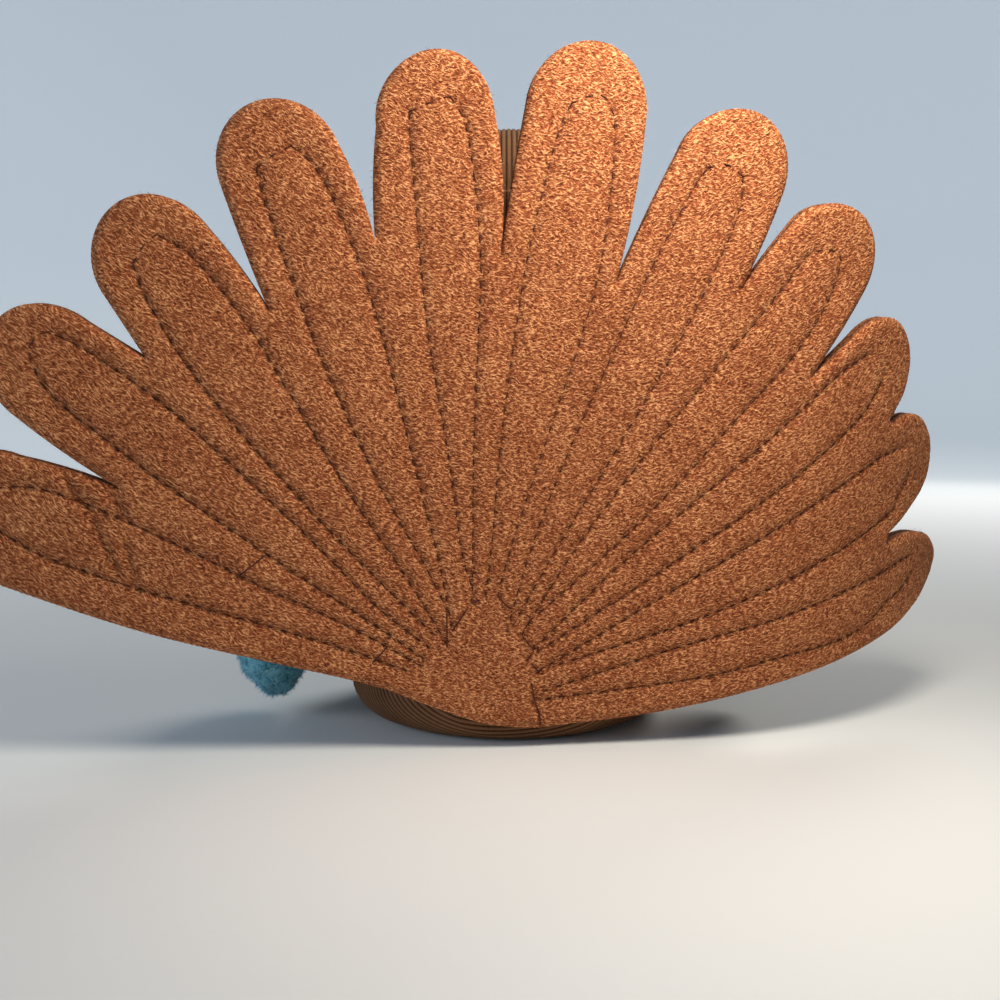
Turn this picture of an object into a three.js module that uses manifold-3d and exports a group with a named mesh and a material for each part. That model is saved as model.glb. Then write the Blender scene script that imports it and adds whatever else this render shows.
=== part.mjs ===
// A stuffed turkey with a quilted felt tail fan, a corduroy body and head, a felt face and fleece wings.
// Millimetres, +Z up. It stands on Z = 0 at the origin and faces -Y, so +X is its own left side.
import * as THREE from 'three';
import { mergeVertices } from 'three/addons/utils/BufferGeometryUtils.js';
import Module from 'manifold-3d';

const wasm = await Module();
wasm.setup();

// Gap between pieces that are sewn together or rest on each other
const seatGap = 0.3;

// Body and head, from the floor up
const baseFlatRadius = 42;
const baseCornerRadius = 6.5;
const baseSeamHeight = 14;
const bellyRadius = 50;
const bellyHeight = 42;
const shoulderRadius = 41;
const shoulderDrop = 27; // from the neck seam down
const neckHeight = 113;
const headRadius = 33.5;
const headHalfHeight = 39.5;
const headRise = 24; // from the neck seam up to the middle of the head
const corduroyThickness = 1.5;
const backPress = 2.4; // how far the tail presses the back in at the base seam

// Filling
const boardThickness = 1.5;
const boardClearance = 1;
const bagHeight = 18;
const bagClearance = 1.6;

// Tail fan, cut flat, leaning back and curled forward on the turkey's right; angles in degrees
const featherCount = 11;
const featherPitch = 14;
const outerFeatherDroop = 1.5;
const middleFeatherLength = 171;
const outerFeatherShortening = 16;
// Uneven hand cutting of the feathers, left to right
const featherTrims = [2.5, 3.5, 0, 1.5, 1.5, 4, -0.5, -3.5, -8.5, -4.5, -1];
const featherWidth = 30;
const slitRadius = 126; // from the tail's root to the bottom of each slit
const tailRootRadius = 3;
const tailFloorClearance = 3.7;
const tailRoll = 5.75;
const tailYaw = 6.3;
const tailLean = 7.6;
const tailBendStart = 52;
const tailBendRadius = 107;
const feltThickness = 1.6;
const battingThickness = 1;
const quiltCrown = 0.8;
const tailCentreRise = 6; // the rings of the fan's grid shrink to this height above the root
const tipSteps = 6;
const seamStep = 2; // step of a round tip where the quilting line runs down from it
const lowerEdgeSteps = 4;
// Shares of the way from the grid's centre to the outline
const tailRingShares = [0, 0.38, 0.58, 0.78, 0.93, 1];
const quiltedRings = [2, 3];
const battingRings = 5;

// Face
const eyeRadius = 5;
const eyeHeight = 4.5;
const eyeStemRadius = 1.6;
const eyeStemLength = 9;
const eyeSpread = 30;
const eyeRise = 12;
const washerRadius = 6.5;
const washerThickness = 1.4;
const washerSeat = 0.9;
const beakLength = 26;
const beakRadius = 9.5;
const beakDrop = 6; // from the middle of the head down
const beakDroop = 8;
const beakRootDepth = 6;
const snoodWidth = 7;
const snoodThickness = 1.8;
const snoodDrop = 17;
const snoodWrap = 100; // degrees of the beak's root that it lies over
const snoodSetback = 4; // from the face to the snood's near edge
const wattleLength = 24;
const wattleWidth = 13;
const wattleThickness = 1.8;
const wattleForward = 8; // from the face to the wattle's middle
const chestClearance = 1;

// Wings
const fleeceThickness = 2.5;
const wingLength = 106;
const wingWidth = 46;
const wingThickness = 15;
const wingBow = 8;
const wingSplay = 23;
const wingSweep = 6.5;
const wingRootDrop = 12; // from the neck seam down to the wing's sewn end
const wingRootDepth = 4; // how far the wing's end would reach into the body before it is cut along it
const wingOpeningRise = 4; // how far the hollow of the cover runs past its sewn end
// Pairs of swell and place along the wing
const wingSwellShares = [
  [0, 0], [0.42, 0.03], [0.6, 0.14], [0.88, 0.36], [1, 0.6], [0.76, 0.82], [0.4, 0.95], [0, 1],
];

const { degToRad } = THREE.MathUtils;

// Sizes that follow from those above
const wallRadius = baseFlatRadius + baseCornerRadius;
const headCentre = neckHeight + headRise;
const neckRadius = headRadius * Math.sqrt(1 - (headRise / headHalfHeight) ** 2);
const tailHalf = battingThickness / 2 + seatGap + feltThickness;
const tailRootHeight = tailFloorClearance + tailRootRadius;
const tailRootReach = wallRadius - backPress + tailHalf + seatGap
  - (baseSeamHeight - tailRootHeight) * Math.tan(degToRad(tailLean));

const turkey = new THREE.Group();

// Adds one piece in its own plain material
function addPiece(parent, name, geometry, colour, roughness) {
  const material = new THREE.MeshStandardMaterial({ color: colour, roughness, metalness: 0 });
  const mesh = new THREE.Mesh(geometry, material);
  mesh.name = name;
  parent.add(mesh);
  return mesh;
}

// Merges shared vertices and drops the triangles that close up on a turning axis
function weld(geometry) {
  const bare = geometry.index ? geometry.clone() : geometry;
  bare.deleteAttribute('normal');
  bare.deleteAttribute('uv');
  const merged = mergeVertices(bare, 1e-4);
  const kept = [];
  const corners = merged.index.array;
  for (let i = 0; i < corners.length; i += 3) {
    const [a, b, c] = corners.slice(i, i + 3);
    if (a !== b && b !== c && c !== a) {
      kept.push(a, b, c);
    }
  }
  merged.setIndex(kept);
  return merged;
}

function solidOf(geometry) {
  const welded = weld(geometry);
  const vertProperties = new Float32Array(welded.attributes.position.array);
  const triVerts = new Uint32Array(welded.index.array);
  return new wasm.Manifold(new wasm.Mesh({ numProp: 3, vertProperties, triVerts }));
}

function geometryOf(solid) {
  const { vertProperties, triVerts } = solid.getMesh();
  const geometry = new THREE.BufferGeometry();
  geometry.setAttribute('position', new THREE.BufferAttribute(vertProperties, 3));
  geometry.setIndex(new THREE.BufferAttribute(triVerts, 1));
  geometry.computeVertexNormals();
  return geometry;
}

// Turns a profile of [radius, height] pairs, listed from the bottom up, about the Z axis
function turned(profile, segments = 24) {
  const points = profile.map(([radius, height]) => new THREE.Vector2(radius, height));
  return new THREE.LatheGeometry(points, segments).rotateX(Math.PI / 2);
}

// Points of a quarter circle from the flat base up to the wall
function cornerArc(centreRadius, centreHeight, radius, steps = 4) {
  const arc = [];
  for (let i = 0; i <= steps; i++) {
    const angle = (i / steps) * Math.PI / 2;
    arc.push([centreRadius + radius * Math.sin(angle), centreHeight - radius * Math.cos(angle)]);
  }
  return arc;
}

// The tail stands in a group of its own at the root of its feathers
const tail = new THREE.Group();
tail.position.set(0, tailRootReach, tailRootHeight);
tail.rotation.set(-degToRad(tailLean), 0, degToRad(tailYaw), 'ZXY');
tail.updateMatrixWorld();
turkey.add(tail);

// Presses the back of a soft form flat against the tail's front, with room for the layers outside it
function pressBack(geometry, layersOutside) {
  const towardsBack = new THREE.Vector3(0, 1, 0).applyEuler(tail.rotation);
  const place = geometry.attributes.position;
  const point = new THREE.Vector3();
  for (let i = 0; i < place.count; i++) {
    point.fromBufferAttribute(place, i);
    const reach = point.clone().sub(tail.position).dot(towardsBack);
    const excess = reach + tailHalf + seatGap + layersOutside;
    if (excess > 0) {
      point.addScaledVector(towardsBack, -excess);
      place.setXYZ(i, point.x, point.y, point.z);
    }
  }
  return geometry;
}

// Outline of the body's side, from the base seam to the neck
const bodySide = new THREE.SplineCurve([
  new THREE.Vector2(wallRadius, baseSeamHeight),
  new THREE.Vector2(bellyRadius, bellyHeight),
  new THREE.Vector2(shoulderRadius, neckHeight - shoulderDrop),
  new THREE.Vector2(neckRadius, neckHeight),
]).getPoints(9);

function bodyRadiusAt(height) {
  const above = bodySide.findIndex((point) => point.y >= height);
  const high = bodySide[above];
  const low = bodySide[above - 1];
  return low.x + (high.x - low.x) * (height - low.y) / (high.y - low.y);
}

// The body's form between two heights, drawn in by the layers outside it
function bodyForm(inset, bottom, top) {
  const profile = [[0, bottom], [wallRadius - inset, bottom]];
  for (const point of bodySide) {
    if (point.y > bottom && point.y < top) {
      profile.push([point.x - inset, point.y]);
    }
  }
  const topRadius = top < neckHeight ? bodyRadiusAt(top) : neckRadius;
  profile.push([topRadius - inset, top], [0, top]);
  return turned(profile);
}

// The base panel's dish, drawn in by the layers outside it
function baseForm(inset, top) {
  const corner = cornerArc(baseFlatRadius, baseCornerRadius, baseCornerRadius - inset);
  return turned([[0, inset], ...corner, [wallRadius - inset, top], [0, top]]);
}

// The head's egg form above a height, drawn in by the layers outside it
function headForm(inset, bottom, steps = 9) {
  const radius = headRadius - inset;
  const half = headHalfHeight - inset;
  const start = Math.asin(Math.max(-1, (bottom - headCentre) / half));
  const profile = [[0, bottom]];
  for (let i = 0; i < steps; i++) {
    const angle = start + (Math.PI / 2 - start) * i / steps;
    profile.push([radius * Math.cos(angle), headCentre + half * Math.sin(angle)]);
  }
  profile.push([0, headCentre + half]);
  return turned(profile);
}

// Body: a base panel under an open cover, with the board, the weight and the stuffing inside
const corduroyColour = 0xa9764c;
const stuffingColour = 0xefece4;
const cutPast = 2; // how far a cutting form runs past the edge that it opens

const baseShell = solidOf(pressBack(baseForm(0, baseSeamHeight), 0))
  .subtract(solidOf(pressBack(baseForm(corduroyThickness, baseSeamHeight + cutPast), corduroyThickness)));
addPiece(turkey, 'base_panel', geometryOf(baseShell), corduroyColour, 0.95);

const bodyBottom = baseSeamHeight + seatGap;
const bodyShell = solidOf(pressBack(bodyForm(0, bodyBottom, neckHeight), 0))
  .subtract(solidOf(pressBack(
    bodyForm(corduroyThickness, bodyBottom - cutPast, neckHeight + cutPast), corduroyThickness)));
addPiece(turkey, 'body_cover', geometryOf(bodyShell), corduroyColour, 0.95);

const boardBottom = corduroyThickness + seatGap;
const boardTop = boardBottom + boardThickness;
const boardRadius = baseFlatRadius - boardClearance;
const board = turned([
  [0, boardBottom], [boardRadius, boardBottom], [boardRadius, boardTop], [0, boardTop],
]);
addPiece(turkey, 'base_board', weld(board), 0xb9a178, 0.9);

const bagBottom = boardTop + seatGap;
const bagTop = bagBottom + bagHeight;
const bagRadius = wallRadius - corduroyThickness - backPress - bagClearance;
const bagEdge = [];
for (let i = 0; i <= 6; i++) {
  const angle = (i / 6 - 0.5) * Math.PI;
  const shrink = 1 - Math.cos(angle);
  bagEdge.push([bagRadius - shrink * bagHeight / 2, bagBottom + bagHeight * (1 + Math.sin(angle)) / 2]);
}
const bag = turned([[0, bagBottom], ...bagEdge, [0, bagTop]], 24);
addPiece(turkey, 'weight_bag', weld(bag), 0xd8cfbd, 0.9);

const stuffingInset = corduroyThickness + seatGap;
const bodyFill = pressBack(bodyForm(stuffingInset, bagTop + seatGap, neckHeight), stuffingInset);
addPiece(turkey, 'body_stuffing', weld(bodyFill), stuffingColour, 1);

// Head: a cover open at the neck, pierced for the eyes, over its own stuffing
const headBottom = neckHeight + seatGap;
let headShell = solidOf(headForm(0, headBottom))
  .subtract(solidOf(headForm(corduroyThickness, headBottom - cutPast)));
let headFill = solidOf(headForm(stuffingInset, headBottom));

const innerHeadRadius = headRadius - corduroyThickness;
const washerSag = innerHeadRadius - Math.sqrt(innerHeadRadius ** 2 - washerRadius ** 2);
const washerTop = -corduroyThickness - washerSag - washerSeat;
const stemHole = eyeStemRadius + seatGap;

// Points of the eye's dome, from its rim to its top
function domeArc(radius, height, steps = 5) {
  const arc = [];
  for (let i = 0; i <= steps; i++) {
    const angle = (i / steps) * Math.PI / 2;
    arc.push([radius * Math.cos(angle), height * Math.sin(angle)]);
  }
  return arc;
}

function addEye(sideName, side) {
  const around = degToRad(eyeSpread) * side;
  const rise = degToRad(eyeRise);
  const direction = new THREE.Vector3(
    Math.cos(rise) * Math.sin(around), -Math.cos(rise) * Math.cos(around), Math.sin(rise));
  const outwards = new THREE.Vector3(
    direction.x / headRadius, direction.y / headRadius, direction.z / headHalfHeight).normalize();
  const eye = new THREE.Group();
  eye.position.set(
    direction.x * headRadius, direction.y * headRadius, headCentre + direction.z * headHalfHeight);
  eye.position.addScaledVector(outwards, seatGap);
  eye.quaternion.setFromUnitVectors(new THREE.Vector3(0, 0, 1), outwards);
  eye.updateMatrixWorld();
  turkey.add(eye);

  const stem = [[0, -eyeStemLength], [eyeStemRadius, -eyeStemLength], [eyeStemRadius, 0]];
  const button = turned([...stem, ...domeArc(eyeRadius, eyeHeight)], 16);
  addPiece(eye, sideName + '_eye', weld(button), 0x15110f, 0.15);

  const washerBottom = washerTop - washerThickness;
  const washer = turned([
    [stemHole, washerBottom], [washerRadius, washerBottom],
    [washerRadius, washerTop], [stemHole, washerTop], [stemHole, washerBottom],
  ], 16);
  addPiece(eye, sideName + '_eye_washer', weld(washer), 0xe6e4df, 0.5);

  const holeEnd = -eyeStemLength - seatGap;
  const hole = turned([[0, holeEnd], [stemHole, holeEnd], [stemHole, eyeHeight], [0, eyeHeight]], 16);
  const pocketRadius = washerRadius + seatGap;
  const pocket = turned([
    [0, holeEnd], [pocketRadius, holeEnd], [pocketRadius, eyeHeight], [0, eyeHeight],
  ], 16);
  headShell = headShell.subtract(solidOf(hole.applyMatrix4(eye.matrixWorld)));
  headFill = headFill.subtract(solidOf(pocket.applyMatrix4(eye.matrixWorld)));
}

addEye('left', 1);
addEye('right', -1);
addPiece(turkey, 'head_cover', geometryOf(headShell), corduroyColour, 0.95);
addPiece(turkey, 'head_stuffing', geometryOf(headFill), stuffingColour, 1);

// Beak, pointing forward along its group's +Z, with the snood laid over its root
const beakHeight = headCentre - beakDrop;
const faceReach = headRadius * Math.sqrt(1 - (beakDrop / headHalfHeight) ** 2);
const beak = new THREE.Group();
beak.position.set(0, -faceReach, beakHeight);
beak.rotation.set(Math.PI / 2 + degToRad(beakDroop), 0, 0);
beak.updateMatrixWorld();
turkey.add(beak);

function beakRadiusAt(forward) {
  return beakRadius * Math.sqrt(Math.max(0, 1 - Math.max(0, forward) / beakLength));
}

const beakProfile = [[0, -beakRootDepth], [beakRadius, -beakRootDepth]];
for (let i = 0; i < 7; i++) {
  const forward = beakLength * (1 - (1 - i / 7) ** 2);
  beakProfile.push([beakRadiusAt(forward), forward]);
}
beakProfile.push([0, beakLength]);
const beakSolid = solidOf(turned(beakProfile, 20).applyMatrix4(beak.matrixWorld))
  .subtract(solidOf(headForm(-seatGap, neckHeight)));
addPiece(turkey, 'beak', geometryOf(beakSolid), 0xd98a2b, 0.9);

// A flat shape given depth, for the felt pieces cut in one layer
function feltCut(shape, depth) {
  return new THREE.ExtrudeGeometry(shape, { depth, bevelEnabled: false, curveSegments: 8 });
}

const snoodInner = beakRadiusAt(snoodSetback) + seatGap;
const snoodOuter = snoodInner + snoodThickness;
const snoodStart = degToRad(snoodWrap);
const snoodShape = new THREE.Shape();
snoodShape.absarc(0, 0, snoodOuter, snoodStart, 0, true);
snoodShape.lineTo(snoodOuter, -snoodDrop);
snoodShape.lineTo(snoodInner, -snoodDrop);
snoodShape.lineTo(snoodInner, 0);
snoodShape.absarc(0, 0, snoodInner, 0, snoodStart, false);
const snood = feltCut(snoodShape, snoodWidth);
snood.translate(0, 0, snoodSetback);
addPiece(beak, 'snood', weld(snood), 0xb3262c, 0.95);

// Wattle: a drop of felt hanging from the beak's underside
const wattleBottom = beakHeight - beakRadius - wattleLength;
const chestReach = bodyRadiusAt(wattleBottom) + chestClearance + wattleThickness / 2;
const wattleReach = Math.max(faceReach + wattleForward, chestReach);
const alongBeak = (wattleReach - faceReach) / Math.cos(degToRad(beakDroop));
const wattleTop = beakHeight - alongBeak * Math.sin(degToRad(beakDroop))
  - beakRadiusAt(alongBeak - wattleThickness) / Math.cos(degToRad(beakDroop)) - seatGap;
const wattleHalf = wattleWidth / 2;
const wattleShape = new THREE.Shape();
wattleShape.moveTo(-wattleHalf / 3, 0);
wattleShape.lineTo(-wattleHalf, wattleHalf - wattleLength);
wattleShape.absarc(0, wattleHalf - wattleLength, wattleHalf, Math.PI, 2 * Math.PI, false);
wattleShape.lineTo(wattleHalf / 3, 0);
const wattle = feltCut(wattleShape, wattleThickness);
wattle.rotateX(Math.PI / 2);
wattle.translate(0, wattleThickness / 2 - wattleReach, wattleTop);
addPiece(turkey, 'wattle', weld(wattle), 0xb3262c, 0.95);

// Wings: a fleece cover, open where it is sewn to the body, over its own stuffing
const wingShape = wingSwellShares.map(([swell, share]) => new THREE.Vector2(swell, share));
const wingSide = new THREE.SplineCurve(wingShape).getPoints(14);
const wingPoints = wingSide.map((point) => [Math.max(0, point.x), point.y]);
const wingRootHeight = neckHeight - wingRootDrop;
const bodyCutter = solidOf(bodyForm(-seatGap, baseSeamHeight, neckHeight));

function wingForm(inset, rootRise) {
  const length = wingLength - inset + rootRise;
  const profile = wingPoints.map(([swell, share]) => [swell, rootRise - share * length]);
  const form = turned(profile.reverse(), 16);
  form.scale(wingThickness / 2 - inset, wingWidth / 2 - inset, 1);
  const place = form.attributes.position;
  for (let i = 0; i < place.count; i++) {
    const share = -place.getZ(i) / wingLength;
    place.setX(i, place.getX(i) + wingBow * 4 * share * (1 - share));
  }
  const wing = new THREE.Object3D();
  wing.position.set(bodyRadiusAt(wingRootHeight) - wingRootDepth, 0, wingRootHeight);
  wing.rotation.set(degToRad(wingSweep), -degToRad(wingSplay), 0, 'YXZ');
  wing.updateMatrixWorld();
  return solidOf(form.applyMatrix4(wing.matrixWorld));
}

// The same form on the turkey's other side, with its faces turned to point out again
function mirrored(geometry) {
  const other = geometry.clone().scale(-1, 1, 1);
  const corners = other.index.array;
  for (let i = 0; i < corners.length; i += 3) {
    [corners[i], corners[i + 1]] = [corners[i + 1], corners[i]];
  }
  return other;
}

const fleeceColour = 0x5fa3a6;
const wingHollow = wingForm(fleeceThickness, wingOpeningRise);
const wingCover = geometryOf(wingForm(0, 0).subtract(wingHollow).subtract(bodyCutter));
const wingFill = geometryOf(wingForm(fleeceThickness + seatGap, 0).subtract(bodyCutter));
addPiece(turkey, 'left_wing_cover', wingCover, fleeceColour, 1);
addPiece(turkey, 'left_wing_stuffing', wingFill, stuffingColour, 1);
addPiece(turkey, 'right_wing_cover', mirrored(wingCover), fleeceColour, 1);
addPiece(turkey, 'right_wing_stuffing', mirrored(wingFill), stuffingColour, 1);

// Tail: the flat outline of the fan about its root, as [right, up] points seen from behind
const middleFeather = (featherCount - 1) / 2;

function featherAngle(index) {
  const step = index - middleFeather;
  const droop = Math.abs(step) === middleFeather ? Math.sign(step) * outerFeatherDroop : 0;
  return degToRad(tailRoll + step * featherPitch + droop);
}

function featherLength(index) {
  const share = (index - middleFeather) / middleFeather;
  return middleFeatherLength - outerFeatherShortening * share ** 2 + (featherTrims[index] ?? 0);
}

function polar(angle, radius, sideways = 0) {
  return [
    radius * Math.sin(angle) + sideways * Math.cos(angle),
    radius * Math.cos(angle) - sideways * Math.sin(angle),
  ];
}

function between(from, to, share) {
  return [from[0] + (to[0] - from[0]) * share, from[1] + (to[1] - from[1]) * share];
}

function tailOutline() {
  const outline = [];
  const half = featherWidth / 2;
  for (let index = 0; index < featherCount; index++) {
    const angle = featherAngle(index);
    if (index > 0) {
      const slitAngle = (featherAngle(index - 1) + angle) / 2;
      outline.push({ at: polar(slitAngle, slitRadius), puffed: true });
    }
    for (let i = 0; i <= tipSteps; i++) {
      const turn = Math.PI * i / tipSteps;
      const radius = featherLength(index) - half + half * Math.sin(turn);
      const puffed = i !== seamStep && i !== tipSteps - seamStep;
      outline.push({ at: polar(angle, radius, -half * Math.cos(turn)), puffed });
    }
  }
  const first = featherAngle(0);
  const last = featherAngle(featherCount - 1);
  const rightRoot = polar(last, 0, tailRootRadius);
  const leftRoot = polar(first, 0, -tailRootRadius);
  const rightTip = outline[outline.length - 1].at;
  const leftTip = outline[0].at;
  for (let i = 1; i <= lowerEdgeSteps; i++) {
    outline.push({ at: between(rightTip, rightRoot, i / lowerEdgeSteps), puffed: false });
  }
  outline.push({ at: [0, -tailRootRadius], puffed: false });
  for (let i = 0; i < lowerEdgeSteps; i++) {
    outline.push({ at: between(leftRoot, leftTip, i / lowerEdgeSteps), puffed: false });
  }
  return outline;
}

// Place of a flat point on the bent fan, raised towards the back
function bentPoint([right, up], raise) {
  const turn = Math.max(0, right - tailBendStart) / tailBendRadius;
  const across = Math.min(right, tailBendStart) + (tailBendRadius + raise) * Math.sin(turn);
  const forward = tailBendRadius - (tailBendRadius + raise) * Math.cos(turn);
  return [-across, -forward, up];
}

// One layer of the fan: the same grid of rings on both faces, closed along its outer ring
function tailLayer(ringCount, backRaise, frontRaise, backCrown, frontCrown) {
  const outline = tailOutline();
  const columns = outline.length;
  const centre = [0, tailCentreRise];
  const places = [];
  for (const [raise, crown] of [[backRaise, backCrown], [frontRaise, frontCrown]]) {
    places.push(...bentPoint(centre, raise));
    for (let ring = 1; ring < ringCount; ring++) {
      for (const { at, puffed } of outline) {
        const puff = puffed && quiltedRings.includes(ring) ? crown : 0;
        places.push(...bentPoint(between(centre, at, tailRingShares[ring]), raise + puff));
      }
    }
  }
  const frontStart = 1 + (ringCount - 1) * columns;
  const corner = (ring, column) => 1 + (ring - 1) * columns + column % columns;
  const triangles = [];
  const addFacing = (a, b, c) => {
    triangles.push(a, c, b);
    triangles.push(frontStart + a, frontStart + b, frontStart + c);
  };
  for (let column = 0; column < columns; column++) {
    addFacing(0, corner(1, column), corner(1, column + 1));
    for (let ring = 1; ring < ringCount - 1; ring++) {
      addFacing(corner(ring, column), corner(ring + 1, column), corner(ring + 1, column + 1));
      addFacing(corner(ring, column), corner(ring + 1, column + 1), corner(ring, column + 1));
    }
    const here = corner(ringCount - 1, column);
    const next = corner(ringCount - 1, column + 1);
    triangles.push(here, next, frontStart + here);
    triangles.push(next, frontStart + next, frontStart + here);
  }
  const layer = new THREE.BufferGeometry();
  layer.setAttribute('position', new THREE.Float32BufferAttribute(places, 3));
  layer.setIndex(triangles);
  layer.computeVertexNormals();
  return layer;
}

const feltColour = 0x8a4a2b;
const battingHalf = battingThickness / 2;
const feltInner = battingHalf + seatGap;
const backPanel = tailLayer(tailRingShares.length, tailHalf, feltInner, quiltCrown, quiltCrown);
const frontPanel = tailLayer(tailRingShares.length, -feltInner, -tailHalf, -quiltCrown, -quiltCrown);
const batting = tailLayer(battingRings, battingHalf, -battingHalf, quiltCrown, -quiltCrown);
addPiece(tail, 'tail_back_panel', backPanel, feltColour, 1);
addPiece(tail, 'tail_front_panel', frontPanel, feltColour, 1);
addPiece(tail, 'tail_batting', batting, stuffingColour, 1);

export default turkey;
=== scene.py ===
import math

import bmesh
import bpy
import numpy as np
from mathutils import Matrix, Vector, kdtree, noise
from mathutils.geometry import delaunay_2d_cdt


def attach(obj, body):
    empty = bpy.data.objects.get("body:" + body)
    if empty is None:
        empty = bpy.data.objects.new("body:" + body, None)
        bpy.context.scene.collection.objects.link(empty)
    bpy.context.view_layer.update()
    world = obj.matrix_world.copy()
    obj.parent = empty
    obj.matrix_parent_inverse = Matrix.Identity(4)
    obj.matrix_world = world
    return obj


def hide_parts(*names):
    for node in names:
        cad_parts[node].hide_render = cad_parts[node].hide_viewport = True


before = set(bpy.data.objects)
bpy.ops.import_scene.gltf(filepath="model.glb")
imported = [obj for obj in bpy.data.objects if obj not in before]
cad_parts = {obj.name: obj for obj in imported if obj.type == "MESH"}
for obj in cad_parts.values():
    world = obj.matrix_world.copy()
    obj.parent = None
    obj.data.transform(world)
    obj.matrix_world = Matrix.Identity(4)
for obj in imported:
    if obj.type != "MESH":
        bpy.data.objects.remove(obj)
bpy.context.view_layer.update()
mm = 0.001


# shared helpers; lengths are millimetres until a mesh is made

def setInputs(tree, node, values):  # a socket is linked, anything else is set
    for key, value in values.items():
        if isinstance(value, bpy.types.NodeSocket):
            tree.links.new(value, node.inputs[key])
        else:
            node.inputs[key].default_value = value


def addNode(tree, kind, values=None, **settings):
    node = tree.nodes.new(kind)
    for key, value in settings.items():
        setattr(node, key, value)
    setInputs(tree, node, values or {})
    return node


def srgb(code):
    parts = [int(code[i:i + 2], 16) / 255 for i in (1, 3, 5)]
    return (*[p / 12.92 if p <= 0.04045 else ((p + 0.055) / 1.055) ** 2.4 for p in parts], 1)


def newObject(name, data):
    made = bpy.data.objects.new(name, data)
    bpy.context.scene.collection.objects.link(made)
    return made


def meshPiece(name, points, faces, material, flatPattern=None, marks=None):
    mesh = bpy.data.meshes.new(name)
    mesh.from_pydata((np.asarray(points, float) * mm).tolist(), [], [list(map(int, f)) for f in faces])
    if flatPattern is not None:  # the cut's own flat place, in metres, so that the nap follows the cloth
        layer = mesh.uv_layers.new(name="flat")
        corners = np.zeros(len(mesh.loops), np.int32)
        mesh.loops.foreach_get("vertex_index", corners)
        layer.data.foreach_set("uv", (np.asarray(flatPattern)[corners] * mm).astype(np.float32).ravel())
    for label, values in (marks or {}).items():
        mark = mesh.attributes.new(label, "FLOAT", "POINT")
        mark.data.foreach_set("value", np.asarray(values, np.float32))
    mesh.materials.append(material)
    return newObject(name, mesh)


def weldAndSmooth(piece, distance=1e-6, closeHoles=False):
    form = bmesh.new()
    form.from_mesh(piece.data)
    bmesh.ops.delete(form, geom=[v for v in form.verts if not v.link_faces], context="VERTS")
    bmesh.ops.remove_doubles(form, verts=form.verts, dist=distance)
    bmesh.ops.dissolve_degenerate(form, edges=form.edges, dist=1e-7)
    if closeHoles:
        bmesh.ops.holes_fill(form, edges=[e for e in form.edges if e.is_boundary], sides=0)
    bmesh.ops.recalc_face_normals(form, faces=form.faces)
    for face in form.faces:
        face.smooth = True
    form.to_mesh(piece.data)
    form.free()
    return piece


def smoothThrough(points, steps):  # Catmull-Rom curve through the points
    padded = [points[0], *points, points[-1]]
    curve = []
    for around in zip(padded, padded[1:], padded[2:], padded[3:]):
        for k in range(steps):
            t = k / steps
            curve.append([
                0.5 * (2 * b + (c - a) * t + (2 * a - 5 * b + 4 * c - d) * t * t
                       + (3 * b - a - 3 * c + d) * t ** 3)
                for a, b, c, d in zip(*around)])
    return np.array([*curve, list(points[-1])], float)


def runAlong(line):  # how far along a line each of its points is
    return np.concatenate([[0], np.cumsum(np.linalg.norm(np.diff(line, axis=0), axis=1))])


def aheadOf(line):  # the direction of a line at each of its points
    ahead = np.gradient(line, axis=0)
    return ahead / np.linalg.norm(ahead, axis=1)[:, None]


def evenly(points, spacing, closed=False):
    line = np.asarray(points, float)
    if closed:
        line = np.vstack([line, line[:1]])
    run = runAlong(line)
    at = np.linspace(0, run[-1], max(2, int(round(run[-1] / spacing))) + 1)
    if closed:
        at = at[:-1]
    return np.stack([np.interp(at, run, line[:, k]) for k in range(line.shape[1])], 1)


def ramp01(value):
    value = np.clip(value, 0, 1)
    return value * value * (3 - 2 * value)


def ringTurns(around):  # the angles of points spread evenly round a ring
    return [2 * math.pi * k / around for k in range(around)]


def ringFaces(rings, around, start=0):  # quads between rings of points, each ring closed on itself
    return [(start + i * around + k, start + i * around + (k + 1) % around,
             start + (i + 1) * around + (k + 1) % around, start + (i + 1) * around + k)
            for i in range(rings - 1) for k in range(around)]


def latheOn(name, rows, around, stand, material):  # turns (radius, along) rows about a placed axis
    points = []
    for r, z in rows:
        for a in ringTurns(around):
            points.append(stand @ Vector((max(r, 0) * math.cos(a), max(r, 0) * math.sin(a), z)))
    piece = meshPiece(name, np.array(points), ringFaces(len(rows), around), material)
    return weldAndSmooth(piece, 2e-6)


def place(piece, body, slot, *nodes):
    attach(piece, body)
    if nodes:
        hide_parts(*nodes)
    return piece


def evaluatedMesh(piece):  # a plain mesh of a piece with its modifiers applied
    bpy.context.view_layer.update()
    graph = bpy.context.evaluated_depsgraph_get()
    return bpy.data.meshes.new_from_object(piece.evaluated_get(graph), depsgraph=graph)


# geometry trees for what repeats: running stitches along a line, and loose fibres on a surface

fibreForm = {"bow": 1.6, "taper": 0.75, "roll": 0.9, "mostDown": 0.05, "shortest": 0.5, "longest": 1.4}


def newTree(name, inputs):
    tree = bpy.data.node_groups.new(name, "GeometryNodeTree")
    for label, kind, value in inputs:
        socket = tree.interface.new_socket(label, in_out="INPUT", socket_type="NodeSocket" + kind)
        if value is not None:
            socket.default_value = value
    tree.interface.new_socket("Made", in_out="OUTPUT", socket_type="NodeSocketGeometry")
    return tree, addNode(tree, "NodeGroupInput").outputs


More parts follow.
